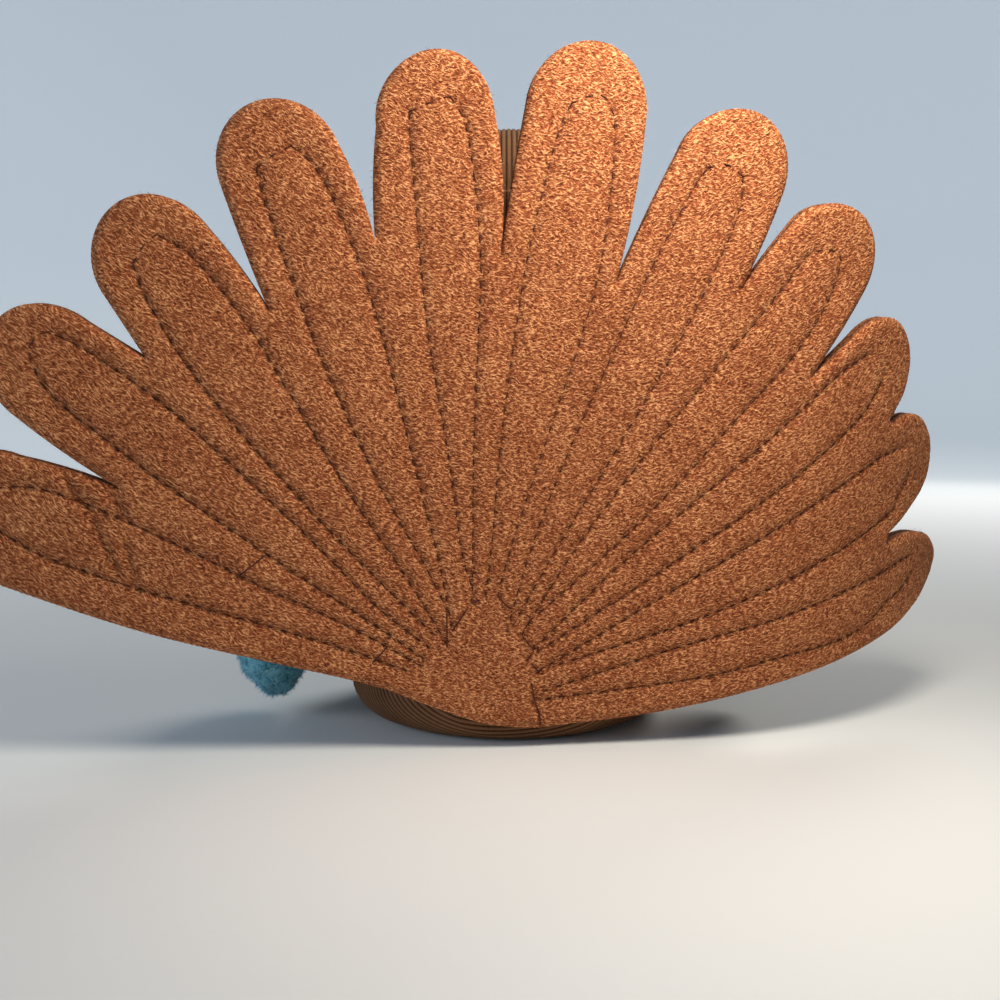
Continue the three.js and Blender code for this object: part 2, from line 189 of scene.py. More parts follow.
def stitchTree():
    tree, given = newTree("runningStitch", [
        ("Line", "Geometry", None), ("Pitch", "Float", 0.0039), ("Length", "Float", 0.0032),
        ("Thickness", "Float", 0.00055), ("Wander", "Float", 0.1), ("Seed", "Int", 4),
        ("Thread", "Material", None)])
    even = addNode(tree, "GeometryNodeResampleCurve", {
        "Curve": given["Line"], "Length": given["Pitch"]}, mode="LENGTH")
    along = addNode(tree, "GeometryNodeInputTangent")
    turn = addNode(tree, "FunctionNodeAlignRotationToVector", {"Vector": along.outputs[0]}, axis="Z")
    less = addNode(tree, "ShaderNodeMath", {0: 0.0, 1: given["Wander"]}, operation="SUBTRACT")
    sway = addNode(tree, "FunctionNodeRandomValue", {
        0: less.outputs[0], 1: given["Wander"], "Seed": given["Seed"]}, data_type="FLOAT_VECTOR")
    slant = addNode(tree, "FunctionNodeEulerToRotation", {0: sway.outputs[0]})
    swayed = addNode(tree, "FunctionNodeRotateRotation", {
        0: turn.outputs[0], 1: slant.outputs[0]}, rotation_space="LOCAL")
    bead = addNode(tree, "GeometryNodeMeshUVSphere", {"Segments": 6, "Rings": 5, "Radius": 0.5})
    size = addNode(tree, "ShaderNodeCombineXYZ", {
        0: given["Thickness"], 1: given["Thickness"], 2: given["Length"]})
    thread = addNode(tree, "GeometryNodeTransform", {
        "Geometry": bead.outputs["Mesh"], "Scale": size.outputs[0]})
    sewn = addNode(tree, "GeometryNodeInstanceOnPoints", {
        "Points": even.outputs[0], "Instance": thread.outputs[0], "Rotation": swayed.outputs[0]})
    real = addNode(tree, "GeometryNodeRealizeInstances", {0: sewn.outputs[0]})
    soft = addNode(tree, "GeometryNodeSetShadeSmooth", {"Geometry": real.outputs[0]})
    dyed = addNode(tree, "GeometryNodeSetMaterial", {
        "Geometry": soft.outputs[0], "Material": given["Thread"]})
    addNode(tree, "NodeGroupOutput", {0: dyed.outputs[0]})
    return tree


def fibreTree():
    tree, given = newTree("looseFibres", [
        ("Cloth", "Geometry", None), ("Density", "Float", 100000.0), ("Length", "Float", 0.002),
        ("Width", "Float", 0.0001), ("Arch", "Float", 0.3), ("Lift", "Float", 0.3), ("Spread", "Float", 0.8),
        ("Nap", "Vector", (1, 0, 0)), ("Seed", "Int", 7), ("Fibre", "Material", None)])
    spots = addNode(tree, "GeometryNodeDistributePointsOnFaces", {
        "Mesh": given["Cloth"], "Density": given["Density"], "Seed": given["Seed"]},
        distribute_method="RANDOM")
    # one fibre: a strip that bows upwards and narrows towards its end
    strip = addNode(tree, "GeometryNodeMeshGrid", {
        "Size X": 1.0, "Size Y": 1.0, "Vertices X": 4, "Vertices Y": 2})
    spot = addNode(tree, "GeometryNodeInputPosition")
    axes = addNode(tree, "ShaderNodeSeparateXYZ", {0: spot.outputs[0]})
    run = addNode(tree, "ShaderNodeMath", {0: axes.outputs[0], 1: 0.5}, operation="ADD")
    bow = addNode(tree, "ShaderNodeMath", {0: run.outputs[0], 1: fibreForm["bow"]}, operation="POWER")
    rise = addNode(tree, "ShaderNodeMath", {0: bow.outputs[0], 1: given["Arch"]}, operation="MULTIPLY")
    thin = addNode(tree, "ShaderNodeMath", {0: run.outputs[0], 1: fibreForm["taper"]}, operation="MULTIPLY")
    keep = addNode(tree, "ShaderNodeMath", {0: 1.0, 1: thin.outputs[0]}, operation="SUBTRACT")
    side = addNode(tree, "ShaderNodeMath", {0: axes.outputs[1], 1: keep.outputs[0]}, operation="MULTIPLY")
    bent = addNode(tree, "ShaderNodeCombineXYZ", {0: run.outputs[0], 1: side.outputs[0], 2: rise.outputs[0]})
    curl = addNode(tree, "GeometryNodeSetPosition", {
        "Geometry": strip.outputs["Mesh"], "Position": bent.outputs[0]})
    size = addNode(tree, "ShaderNodeCombineXYZ", {0: given["Length"], 1: given["Width"], 2: given["Length"]})
    hair = addNode(tree, "GeometryNodeTransform", {"Geometry": curl.outputs[0], "Scale": size.outputs[0]})
    # how it lies: combed along the nap either way, then spun and tilted a little
    stand = addNode(tree, "FunctionNodeAlignRotationToVector", {"Vector": spots.outputs["Normal"]}, axis="Z")
    combed = addNode(tree, "FunctionNodeAlignRotationToVector", {
        "Rotation": stand.outputs[0], "Vector": given["Nap"]}, axis="X", pivot_axis="Z")
    half = addNode(tree, "ShaderNodeMath", {0: 0.0, 1: given["Spread"]}, operation="SUBTRACT")
    yaw = addNode(tree, "FunctionNodeRandomValue", {2: half.outputs[0], 3: given["Spread"], "Seed": 3})
    flip = addNode(tree, "FunctionNodeRandomValue", {2: -1.0, 3: 1.0, "Seed": 5})
    sign = addNode(tree, "ShaderNodeMath", {0: flip.outputs[1]}, operation="SIGN")
    over = addNode(tree, "ShaderNodeMath", {0: sign.outputs[0], 1: 1.0}, operation="ADD")
    back = addNode(tree, "ShaderNodeMath", {0: over.outputs[0], 1: math.pi / 2}, operation="MULTIPLY")
    turned = addNode(tree, "ShaderNodeMath", {0: yaw.outputs[1], 1: back.outputs[0]}, operation="ADD")
    low = addNode(tree, "ShaderNodeMath", {0: 0.0, 1: given["Lift"]}, operation="SUBTRACT")
    pitch = addNode(tree, "FunctionNodeRandomValue", {
        2: low.outputs[0], 3: fibreForm["mostDown"], "Seed": 8})
    roll = addNode(tree, "FunctionNodeRandomValue", {2: -fibreForm["roll"], 3: fibreForm["roll"], "Seed": 9})
    laid = combed
    for bend in (addNode(tree, "ShaderNodeCombineXYZ", {2: turned.outputs[0]}),
                 addNode(tree, "ShaderNodeCombineXYZ", {0: roll.outputs[1], 1: pitch.outputs[1]})):
        amount = addNode(tree, "FunctionNodeEulerToRotation", {0: bend.outputs[0]})
        laid = addNode(tree, "FunctionNodeRotateRotation", {
            0: laid.outputs[0], 1: amount.outputs[0]}, rotation_space="LOCAL")
    grow = addNode(tree, "FunctionNodeRandomValue", {
        2: fibreForm["shortest"], 3: fibreForm["longest"], "Seed": 11})
    coat = addNode(tree, "GeometryNodeInstanceOnPoints", {
        "Points": spots.outputs["Points"], "Instance": hair.outputs[0],
        "Rotation": laid.outputs[0], "Scale": grow.outputs[1]})
    tone = addNode(tree, "FunctionNodeRandomValue", {2: 0.0, 3: 1.0, "Seed": 13})
    told = addNode(tree, "GeometryNodeStoreNamedAttribute", {
        "Geometry": coat.outputs[0], "Name": "tone", "Value": tone.outputs[1]},
        data_type="FLOAT", domain="INSTANCE")
    real = addNode(tree, "GeometryNodeRealizeInstances", {0: told.outputs[0]})
    dyed = addNode(tree, "GeometryNodeSetMaterial", {"Geometry": real.outputs[0], "Material": given["Fibre"]})
    addNode(tree, "NodeGroupOutput", {0: dyed.outputs[0]})
    return tree


stitches = stitchTree()
fibres = fibreTree()
print("geometry trees built")


def grown(name, source, tree, values):  # runs a tree on an object and keeps the result as a plain mesh
    modifier = source.modifiers.new(name, "NODES")
    modifier.node_group = tree
    for item in tree.interface.items_tree:
        if item.in_out == "INPUT" and item.name in values:
            modifier[item.identifier] = values[item.name]
    mesh = evaluatedMesh(source)
    source.modifiers.remove(modifier)
    mesh.name = name
    return newObject(name, mesh)


def stitchesOn(name, lines, sewing, thread):  # running stitches along lines in millimetres
    curve = bpy.data.curves.new(name + "Path", "CURVE")
    curve.dimensions = "3D"
    for line in lines:
        spline = curve.splines.new("POLY")
        spline.points.add(len(line) - 1)
        spline.points.foreach_set("co", np.column_stack([np.asarray(line) * mm, np.ones(len(line))]).ravel())
    path = newObject(name + "Path", curve)
    sewn = grown(name, path, stitches, {
        "Pitch": sewing["pitch"] * mm, "Length": sewing["stitchLength"] * mm,
        "Thickness": sewing["thread"] * mm, "Wander": sewing["wander"], "Thread": thread})
    bpy.data.objects.remove(path)
    return sewn


def fibresOn(name, source, coat, fibre):  # strands to a square metre, their size in millimetres and their lie
    return grown(name, source, fibres, {
        "Density": coat["density"], "Length": coat["length"] * mm, "Width": coat["width"] * mm,
        "Arch": coat["arch"], "Lift": coat["lift"], "Spread": coat["spread"], "Nap": coat["nap"],
        "Fibre": fibre})


# felt, its loose fibres and the sewing thread

feltLook = {"swirl": 5, "swirlPush": 1.8, "highlightArcMiddle": 20, "highlightArcBend": -2.4, "mottle": 2.6, "cloud": 14,
            "layers": ((2, 1.0), (29, 0.92), (-26, 0.92)),  # turn and weight of each direction of fibre
            "grooveShade": 0.36, "bump": 0.28, "tailFibre": (1.2, 0.46), "faceFibre": (1.8, 0.55)}


def newMaterial(name):
    material = bpy.data.materials.new(name)
    material.use_nodes = True
    return material, material.node_tree, material.node_tree.nodes["Principled BSDF"]


def setStops(colours, *stops):  # places and colours along a ramp, from dark to light
    elements = colours.color_ramp.elements
    for element, (at, code) in zip((elements[0], elements[1]), (stops[0], stops[-1])):
        element.position, element.color = at, srgb(code)
    for at, code in stops[1:-1]:
        elements.new(at).color = srgb(code)


def feltMaterial(name, dark, mid, light, fibre, patternMap=None):
    # Needled wool-blend felt: matted short fibres with no weave, combed mostly one way, so the eye gets
    # fine crossing streaks of light and dark, slight clouding and a dull halo at grazing angles.
    material, tree, shader = newMaterial(name)
    if patternMap:
        at = addNode(tree, "ShaderNodeUVMap", uv_map=patternMap).outputs[0]
    else:
        at = addNode(tree, "ShaderNodeTexCoord").outputs["Object"]
    swirl = addNode(tree, "ShaderNodeTexNoise", {
        "Vector": at, "Scale": 1 / (feltLook["swirl"] * mm), "Detail": 1.0})
    swing = addNode(tree, "ShaderNodeVectorMath", {
        0: swirl.outputs["Color"], 1: (0.5, 0.5, 0.5)}, operation="SUBTRACT")
    push = addNode(tree, "ShaderNodeVectorMath", {
        0: swing.outputs[0], "Scale": feltLook["swirlPush"] * mm}, operation="SCALE")
    warped = addNode(tree, "ShaderNodeVectorMath", {0: at, 1: push.outputs[0]}, operation="ADD").outputs[0]
    if patternMap:  # the streaks lie in wide arcs, level near the middle and rising to both sides, across the light from above the middle: painted highlights on the fibres
        axes = addNode(tree, "ShaderNodeSeparateXYZ", {0: warped})
        aside = addNode(tree, "ShaderNodeMath", {
            0: axes.outputs[0], 1: feltLook["highlightArcMiddle"] * mm}, operation="SUBTRACT").outputs[0]
        square = addNode(tree, "ShaderNodeMath", {0: aside, 1: aside}, operation="MULTIPLY")
        level = addNode(tree, "ShaderNodeMath", {
            0: square.outputs[0], 1: feltLook["highlightArcBend"], 2: axes.outputs[1]}, operation="MULTIPLY_ADD")
        warped = addNode(tree, "ShaderNodeCombineXYZ", {0: axes.outputs[0], 1: level.outputs[0]}).outputs[0]
    perFibre = [1 / (fibre[k] * mm) for k in (0, 1, 1)]
    streak = None
    for angle, weight in feltLook["layers"]:
        turned = addNode(tree, "ShaderNodeVectorRotate", {
            "Vector": warped, "Angle": math.radians(angle)}, rotation_type="Z_AXIS")
        laid = addNode(tree, "ShaderNodeVectorMath", {
            0: turned.outputs[0], 1: perFibre}, operation="MULTIPLY")
        line = addNode(tree, "ShaderNodeTexNoise", {
            "Vector": laid.outputs[0], "Scale": 1.0, "Detail": 2.0, "Roughness": 0.55})
        crest = addNode(tree, "ShaderNodeMapRange", {
            0: line.outputs[0], 1: 0.45, 2: 0.67, 3: 0.0, 4: weight}).outputs[0]
        if streak is not None:
            crest = addNode(tree, "ShaderNodeMath", {0: streak, 1: crest}, operation="MAXIMUM").outputs[0]
        streak = crest
    mottle = addNode(tree, "ShaderNodeTexNoise", {
        "Vector": at, "Scale": 1 / (feltLook["mottle"] * mm), "Detail": 2.0})
    cloud = addNode(tree, "ShaderNodeTexNoise", {
        "Vector": at, "Scale": 1 / (feltLook["cloud"] * mm), "Detail": 2.0})
    lift = addNode(tree, "ShaderNodeMapRange", {0: mottle.outputs[0], 1: 0.3, 2: 0.7, 3: -0.09, 4: 0.09})
    patch = addNode(tree, "ShaderNodeMapRange", {0: cloud.outputs[0], 1: 0.3, 2: 0.7, 3: -0.03, 4: 0.09})
    spread = addNode(tree, "ShaderNodeMath", {
        0: streak, 1: 0.92, 2: lift.outputs[0]}, operation="MULTIPLY_ADD")
    tone = addNode(tree, "ShaderNodeMath", {0: spread.outputs[0], 1: patch.outputs[0]}, operation="ADD")
    colours = addNode(tree, "ShaderNodeValToRGB", {0: tone.outputs[0]})
    setStops(colours, (0.05, dark), (0.52, mid), (1.0, light))
    # painted shade: the colour is darkened along the quilting grooves by the groove mark
    groove = addNode(tree, "ShaderNodeAttribute", attribute_name="groove")
    shade = addNode(tree, "ShaderNodeMapRange", {
        0: groove.outputs["Fac"], 3: 1.0, 4: feltLook["grooveShade"]})
    deep = addNode(tree, "ShaderNodeMix", {
        0: 1.0, 6: colours.outputs[0], 7: shade.outputs[0]}, data_type="RGBA", blend_type="MULTIPLY")
    relief = addNode(tree, "ShaderNodeBump", {
        "Height": tone.outputs[0], "Distance": feltLook["bump"] * mm, "Strength": 1.0})
    setInputs(tree, shader, {
        "Base Color": deep.outputs[2], "Normal": relief.outputs[0], "Roughness": 0.95,
        "Specular IOR Level": 0.15, "Sheen Weight": 0.15, "Sheen Roughness": 0.5, "Sheen Tint": srgb(light)})
    return material


def fibreMaterial(name, dark, light):
    # Single drawn-out fibres: each one its own tone between the two, matt with a faint sheen.
    material, tree, shader = newMaterial(name)
    tone = addNode(tree, "ShaderNodeAttribute", attribute_name="tone")
    colours = addNode(tree, "ShaderNodeValToRGB", {0: tone.outputs["Fac"]})
    setStops(colours, (0, dark), (1, light))
    setInputs(tree, shader, {
        "Base Color": colours.outputs[0], "Roughness": 0.8, "Specular IOR Level": 0.3, "Sheen Weight": 0.2})
    return material


def threadMaterial(name, dark, light):
    # Spun polyester sewing thread: uneven dark plies under a slight gloss.
    material, tree, shader = newMaterial(name)
    at = addNode(tree, "ShaderNodeTexCoord").outputs["Object"]
    ply = addNode(tree, "ShaderNodeTexNoise", {"Vector": at, "Scale": 1 / (0.5 * mm), "Detail": 2.0})
    colours = addNode(tree, "ShaderNodeValToRGB", {0: ply.outputs[0]})
    setStops(colours, (0.35, dark), (0.7, light))
    setInputs(tree, shader, {"Base Color": colours.outputs[0], "Roughness": 0.75, "Specular IOR Level": 0.2})
    return material


rustFelt = feltMaterial("rustWoolFelt", "#5b2917", "#a35933", "#efab73", feltLook["tailFibre"], "flat")
rustFibre = fibreMaterial("rustFeltFibres", "#70391f", "#e0a06c")
brownThread = threadMaterial("brownPolyesterThread", "#32120a", "#743a24")
print("felt and thread mixed")


# the stage and the camera, where the photograph was taken from behind

studio = {"camera": (2.6, 335.2, 88), "tiltDown": 4.131, "lens": 38.88, "sensor": 36, "nearClip": 20,
          "floorRadius": 1500, "floorRings": (0.001, 300, 700, 1100), "coveRadius": 500, "coveSteps": 12,
          "wallHeight": 1100, "around": 96, "floorColour": "#eaebe6", "wallColour": "#c8d3dc",
          "coolAt": 450, "glowFrom": 250, "glowFull": 1300, "backdropGlow": 0.58, "rollerGrain": 1.5,
          "skyColour": "#c4d7f2", "skyStrength": 0.16}
lamps = {  # place and aim, width, power, colour
    "keyLamp": ((-60, 150, 225), (-15, 55, 90), 80, 0.47, "#fff6ea"),
    "softFill": ((900, 350, 350), (0, 20, 80), 700, 4.5, "#d0e3fb"),
    "frontSoft": ((-640, -1000, 880), (0, 0, 100), 800, 8.5, "#fff8f0"),
}

cameraData = bpy.data.cameras.new("backCamera")
cameraData.sensor_width = studio["sensor"]
cameraData.lens = studio["lens"]
cameraData.clip_start = studio["nearClip"] * mm
camera = newObject("backCamera", cameraData)
camera.location = [c * mm for c in studio["camera"]]
camera.rotation_euler = (math.radians(90 - studio["tiltDown"]), 0, math.pi)
bpy.context.scene.camera = camera
bpy.context.scene.view_settings.view_transform = "Standard"


def stageMaterial():
    # Matt painted board: pale on the floor, a little cooler up the wall, with a fine roller grain.
    material, tree, shader = newMaterial("mattPaintedBoard")
    at = addNode(tree, "ShaderNodeTexCoord").outputs["Object"]
    height = addNode(tree, "ShaderNodeSeparateXYZ", {0: at}).outputs[2]
    share = addNode(tree, "ShaderNodeMapRange", {0: height, 1: 0.0, 2: studio["coolAt"] * mm})
    colours = addNode(tree, "ShaderNodeValToRGB", {0: share.outputs[0]})
    setStops(colours, (0, studio["floorColour"]), (1, studio["wallColour"]))
    grain = addNode(tree, "ShaderNodeTexNoise", {
        "Vector": at, "Scale": 1 / (studio["rollerGrain"] * mm), "Detail": 2.0})
    relief = addNode(tree, "ShaderNodeBump", {
        "Height": grain.outputs[0], "Distance": 0.05 * mm, "Strength": 0.3})
    path = addNode(tree, "ShaderNodeLightPath")  # the backdrop glows to the eye and lights nothing
    mirrored = addNode(tree, "ShaderNodeMath", {
        0: path.outputs["Is Glossy Ray"], 1: path.outputs["Is Transmission Ray"]}, operation="MAXIMUM")
    seen = addNode(tree, "ShaderNodeMath", {
        0: path.outputs["Is Camera Ray"], 1: mirrored.outputs[0]}, operation="MAXIMUM")
    away = addNode(tree, "ShaderNodeVectorMath", {0: at}, operation="LENGTH")
    far = addNode(tree, "ShaderNodeMapRange", {
        0: away.outputs["Value"], 1: studio["glowFrom"] * mm, 2: studio["glowFull"] * mm, 3: 0.0,
        4: studio["backdropGlow"]})
    glow = addNode(tree, "ShaderNodeMath", {0: seen.outputs[0], 1: far.outputs[0]}, operation="MULTIPLY")
    setInputs(tree, shader, {
        "Base Color": colours.outputs[0], "Emission Color": srgb(studio["wallColour"]),
        "Emission Strength": glow.outputs[0], "Normal": relief.outputs[0], "Roughness": 0.9})
    return material


def coveStage():  # a round floor that curves up into the wall
    rows = [(r, 0) for r in (*studio["floorRings"], studio["floorRadius"])]
    for k in range(1, studio["coveSteps"] + 1):
        a = math.pi / 2 * k / studio["coveSteps"]
        rows.append((studio["floorRadius"] + studio["coveRadius"] * math.sin(a),
                     studio["coveRadius"] * (1 - math.cos(a))))
    rows.append((rows[-1][0], studio["wallHeight"]))
    points = [(r * math.cos(a), r * math.sin(a), z) for r, z in rows for a in ringTurns(studio["around"])]
    stage = meshPiece("studioFloor", points, ringFaces(len(rows), studio["around"]), stageMaterial())
    for face in stage.data.polygons:
        face.use_smooth = True


def areaLight(name, spot, aim, width, power, colour):
    data = bpy.data.lights.new(name, "AREA")
    data.shape = "DISK"
    data.size = width * mm
    data.energy = power
    data.color = srgb(colour)[:3]
    lamp = newObject(name, data)
    lamp.location = Vector(spot) * mm
    lamp.rotation_euler = (Vector(aim) - Vector(spot)).to_track_quat("-Z", "Y").to_euler()
    lamp.visible_camera = False


coveStage()
for name, values in lamps.items():
    areaLight(name, *values)
world = bpy.data.worlds.new("paleStudio")
world.use_nodes = True
setInputs(world.node_tree, world.node_tree.nodes["Background"], {
    0: srgb(studio["skyColour"]), 1: studio["skyStrength"]})
bpy.context.scene.world = world
print("stage, lamps and camera set")


# the tail fan: two felt panels quilted over thin wadding, cut flat, leaned back and curled forward at
# one side; flat places are [right, up] from the root, seen from behind

fan = {
    "root": (0, 47.826, 6.7), "yaw": 6.3, "lean": 7.6, "bendStart": 52, "bendRadius": 107,
    "angles": [-65.4, -49.9, -35.8, -21.8, -7.53, 5.88, 20.2, 33.45, 47.2, 60.25, 74.7],
    "lengths": [158, 163.7, 164.4, 169.7, 171.8, 175.2, 169.6, 163.5, 154.1, 152.2, 151],
    "halfWidths": [16.2, 14.5, 14.8, 14.8, 14.3, 14.8, 14.5, 14.6, 14, 14.5, 14.3],
    "tipHeights": [16.5, 16.2, 16.1, 15.5, 15.6, 16.2, 15.6, 14.5, 15.5, 16.5, 31],
    "tipSkews": [0.4, 1, 0.7, -0.2, 1.4, 0.7, 1, 2.2, -0.8, 1.9, 10],
    "slits": [(-56.25, 118.2), (-42.8, 133.2), (-29.05, 125.7), (-15.5, 131.5), (-2.1, 122.8),
              (11.9, 119.4), (26.2, 128.6), (39.9, 121.4), (53.2, 135), (67, 122.8)],
    "bankBows": [(0.6, 0.6), (0, 0), (0.5, 0.2), (0.9, 0.6), (1.4, 0.2), (0.8, 0.4), (0.3, 0.4), (0.2, 0),
                 (0.4, 0), (0.4, 0)],  # how far the two sides of each slit bow into it
    "lowerEdge": [(95.6, 13), (67.6, 7.8), (41, 2.7), (16.2, 0), (5, -0.8), (-8.2, 1.1), (-24.3, 7.3),
                  (-40, 13.4), (-92.8, 27.8)],
    "tipTilts": [-1.2, 0.3, 0.2, -0.5, 0.2, -2.2, -1.6, -1.2, -0.8, -0.6, 0.2],  # mm that each tip waves back
    "waveFrom": 128, "waveRun": 45, "tipSteps": 24,
    "edgeStep": 0.75, "edgeFine": 0.3, "backStep": 1.15, "frontStep": 1.7, "waddingStep": 3.4,
    # rows of vertices beside the stitching, how close vertices may lie, and how near to the cut edge
    "besideStitches": (0, 0.5, -0.5, 1.05, -1.05), "stitchGap": 0.5, "gapShare": 0.72, "mostGap": 1.1,
    "edgeClear": 1.05,
    # the felt's thickness leaves room for the wadding, and the two cut edges nearly meet
    "innerGap": 0.2, "thinnest": 0.9, "thickest": 1.55, "edgeReach": 2, "edgeGap": 0.12, "edgeThin": 0.8,
    # liningShade is the painted shade on the inner face and the cut edge
    "liningShift": 1.6, "liningShade": 0.8, "waddingGap": 0.06, "waddingClear": 3.2,
}
quilt = {
    # each inverted U of stitching, from the base up round one feather and back down
    "lines": [
        [(-28.2, 16.5), (-44.4, 22.9), (-68.3, 31), (-96.9, 40.5), (-115.5, 47.8), (-123.3, 52.4),
         (-129.9, 57.3), (-131, 62.2), (-128.1, 65.8), (-118.8, 66.1), (-108.3, 62.5), (-90.1, 53.9),
         (-63.7, 39.6), (-41.4, 28.1), (-24.3, 17.8)],
        [(-23.6, 19.8), (-39, 31.3), (-59.4, 45.8), (-83.4, 63.8), (-99, 76.3), (-113.2, 89.1),
         (-116.9, 97.8), (-115.9, 101.8), (-112.7, 103.6), (-104.1, 99.5), (-88.7, 88.1), (-74, 74.5),
         (-52.9, 53.1), (-36, 34.7), (-22, 22.6)],
        [(-21, 26.5), (-32.2, 38.2), (-49.2, 56.6), (-68.5, 79.6), (-80.5, 95.6), (-89.4, 111.6),
         (-92.1, 120), (-88.1, 125.8), (-85.8, 126.7), (-77.8, 121.2), (-66.1, 106.1), (-56.1, 88.8),
         (-41.2, 62.7), (-27.7, 41.6), (-17.4, 23.8)],
        [(-17.2, 32.8), (-22.8, 44.5), (-34.6, 66.5), (-46.9, 94), (-53.8, 112.8), (-60.7, 133.9),
         (-62.6, 142.7), (-58.3, 145.8), (-54.4, 147.9), (-47.2, 140.3), (-38.2, 119), (-32.6, 99.8),
         (-25.5, 70.5), (-19.4, 46.1), (-16.1, 28.6)],
        [(-11.1, 40.1), (-13.4, 48.2), (-17, 73), (-22, 102.7), (-24.1, 122.7), (-26.3, 147.7),
         (-26.7, 156.3), (-21.7, 158.5), (-17.1, 160.1), (-12.7, 151.5), (-9.4, 124.6), (-9.7, 104.6),
         (-10.6, 74.3), (-10.6, 48.9), (-10.7, 35)],
        [(-7.1, 36.7), (-5.7, 49.7), (-3.9, 74.9), (-0.4, 105), (2.6, 125), (8.7, 150.7), (12.3, 159.5),
         (17.5, 161.4), (21.6, 159.8), (23.3, 150.2), (20.8, 123.2), (16.2, 103.7), (7.1, 74.7),
         (-0.5, 50), (-3.9, 36.7)],
        [(-1.3, 26.9), (4.9, 49.8), (13.5, 73.8), (25.4, 101.9), (33.4, 120.5), (42.4, 138.7),
         (46.6, 145.3), (50.9, 146.3), (55.7, 143.6), (55, 134.2), (47.6, 115.6), (38.8, 97.6),
         (24, 71), (11.2, 48.7), (0.4, 28.3)],
        [(2.8, 25.8), (15.5, 47.5), (30.3, 68.6), (49, 92.9), (61.9, 108.6), (70, 118.9), (74.8, 124.9),
         (80.7, 126.2), (84.5, 123.4), (82.3, 114.5), (73.8, 100.9), (60.4, 85.9), (40.4, 63.2),
         (22.1, 44.9), (4.8, 29.6)],
        [(5.9, 21.6), (26.4, 42.4), (45.8, 59.4), (69, 79.1), (84.4, 92.2), (91.4, 96.6), (98.2, 99.5),
         (102.3, 97.4), (103.7, 93.4), (98.9, 85.9), (94.8, 81.5), (78.8, 69.4), (53.9, 52.2),
         (32.7, 37.8), (4.3, 19.1)],
        [(7.7, 15.5), (37.2, 33.5), (59, 46.3), (85.5, 61), (103.6, 69.9), (109.7, 71.5), (116.4, 72.7),
         (119.6, 69.6), (120.3, 65.1), (115.1, 58.2), (112.5, 54.4), (94.2, 46.4), (66.3, 35.1),
         (42.5, 26.3), (9.7, 16.2)],
        [(9.2, 9.8), (45.3, 21.1), (69.9, 27.2), (96.3, 33.5), (112.1, 36.9), (121.9, 38.9),
         (127.1, 37.9), (128.2, 34.8), (122.4, 30.1), (114.8, 27.3), (100, 20.2), (73.2, 16.4),
         (48.6, 11.8), (6.4, 7.1)],
    ],
    "corners": {2: (6, 8), 3: (6, 8), 4: (6, 8), 5: (6,), 6: (6, 8)}, "lineStep": 0.4,
    "stitched": 1.6, "puff": 1.0, "spread": 0.8, "falloff": 1.15, "pillow": 0.32, "pillowSpread": 4.5,
    "pucker": 0.23, "capPull": 0.12, "pullFrom": 0.5, "pullRun": 0.42, "pullWindow": 15,
    "faintCaps": (8, 9, 10), "faintSink": 0.5,  # round these tips the thread sinks out of sight
    "edgeRaise": 1.8, "edgeBand": 2.4, "edgeStart": 0.12, "rim": 0.5,
    "waves": [(0.22, 9, 3.1), (0.10, 3, 8.4)],  # height, size and seed of the felt's unevenness
    "pitch": 3.7, "stitchLength": 2.15, "thread": 0.46, "wander": 0.06, "threadRaise": 0.17,
    # painted shade along the stitched grooves: its width, least share, level and beat at the stitches
    "grooveWidth": 0.42, "grooveLeast": 0.4, "grooveShadeLevel": 0.55, "grooveBeat": 0.4,
    "creaseDepth": 1.1, "creaseWidth": 1.1,
    "creases": [[(-112.7, 71.2), (-106.7, 61.2), (-102.2, 49.7), (-99.3, 43.7)],
                [(-101.2, 65.4), (-97.3, 59.1)], [(-97.7, 51.4), (-95.4, 39.7)]],
    "looseThreads": [
        [(-17.3, 32.4), (-17.2, 22.8)], [(-11.8, 33.9), (-15.7, 27.6)], [(-32.7, 23.4), (-36.7, 19.1)],
        [(-63.5, 48.4), (-70.6, 42.7)], [(-10.7, 35), (-8.6, 35.7)],
        [(-3.9, 36.7), (-2.5, 34.9), (-0.6, 33.1)], [(2.8, 25.5), (5.2, 22.3), (6.2, 22.9)],
        [(4, 18.8), (5.9, 21.2)], [(7.4, 15.2), (5, 18.1)],
        [(5.4, 12.4), (6.4, 7.1), (7.7, 3.5), (7.9, -0.1)]],
    "looseStep": 0.8, "looseRadius": 0.21, "looseRaise": 0.2, "looseSink": 0.5,
}
feltNap = {"density": 700000.0, "length": 1.5, "width": 0.09, "arch": 0.10, "lift": 0.22, "spread": 0.75,
           "nap": (1.0, 0.0, 0.12), "frontShare": 0.5}
edgeStrays = {"density": 450000.0, "length": 0.9, "width": 0.055, "arch": 0.5, "lift": 0.9, "spread": 1.4,
              "nap": (1.0, 0.0, 0.0)}
fanStand = np.array(Matrix.Rotation(math.radians(fan["yaw"]), 3, "Z")
                    @ Matrix.Rotation(-math.radians(fan["lean"]), 3, "X"))


def polar(degrees, radius, sideways=0.0):
    a = math.radians(degrees)
    return (radius * math.sin(a) + sideways * math.cos(a), radius * math.cos(a) - sideways * math.sin(a))


def onFan(flat, raised):  # place of flat points on the leaning, curled fan, raised towards the back
    flat = np.asarray(flat, float)
    turn = np.maximum(0, flat[:, 0] - fan["bendStart"]) / fan["bendRadius"]
    reach = fan["bendRadius"] + np.asarray(raised)
    across = np.minimum(flat[:, 0], fan["bendStart"]) + reach * np.sin(turn)
    local = np.stack([-across, reach * np.cos(turn) - fan["bendRadius"], flat[:, 1]], 1)
    return local @ fanStand.T + np.array(fan["root"])


def slitBank(start, end, bow):  # the side of a slit, bowed a little as the scissors left it
    start, end = np.array(start), np.array(end)
    side = np.array((end[1] - start[1], start[0] - end[0])) / np.linalg.norm(end - start)
    return [start + (end - start) * t + side * bow * 4 * t * (1 - t) for t in (0.2, 0.4, 0.6, 0.8)]


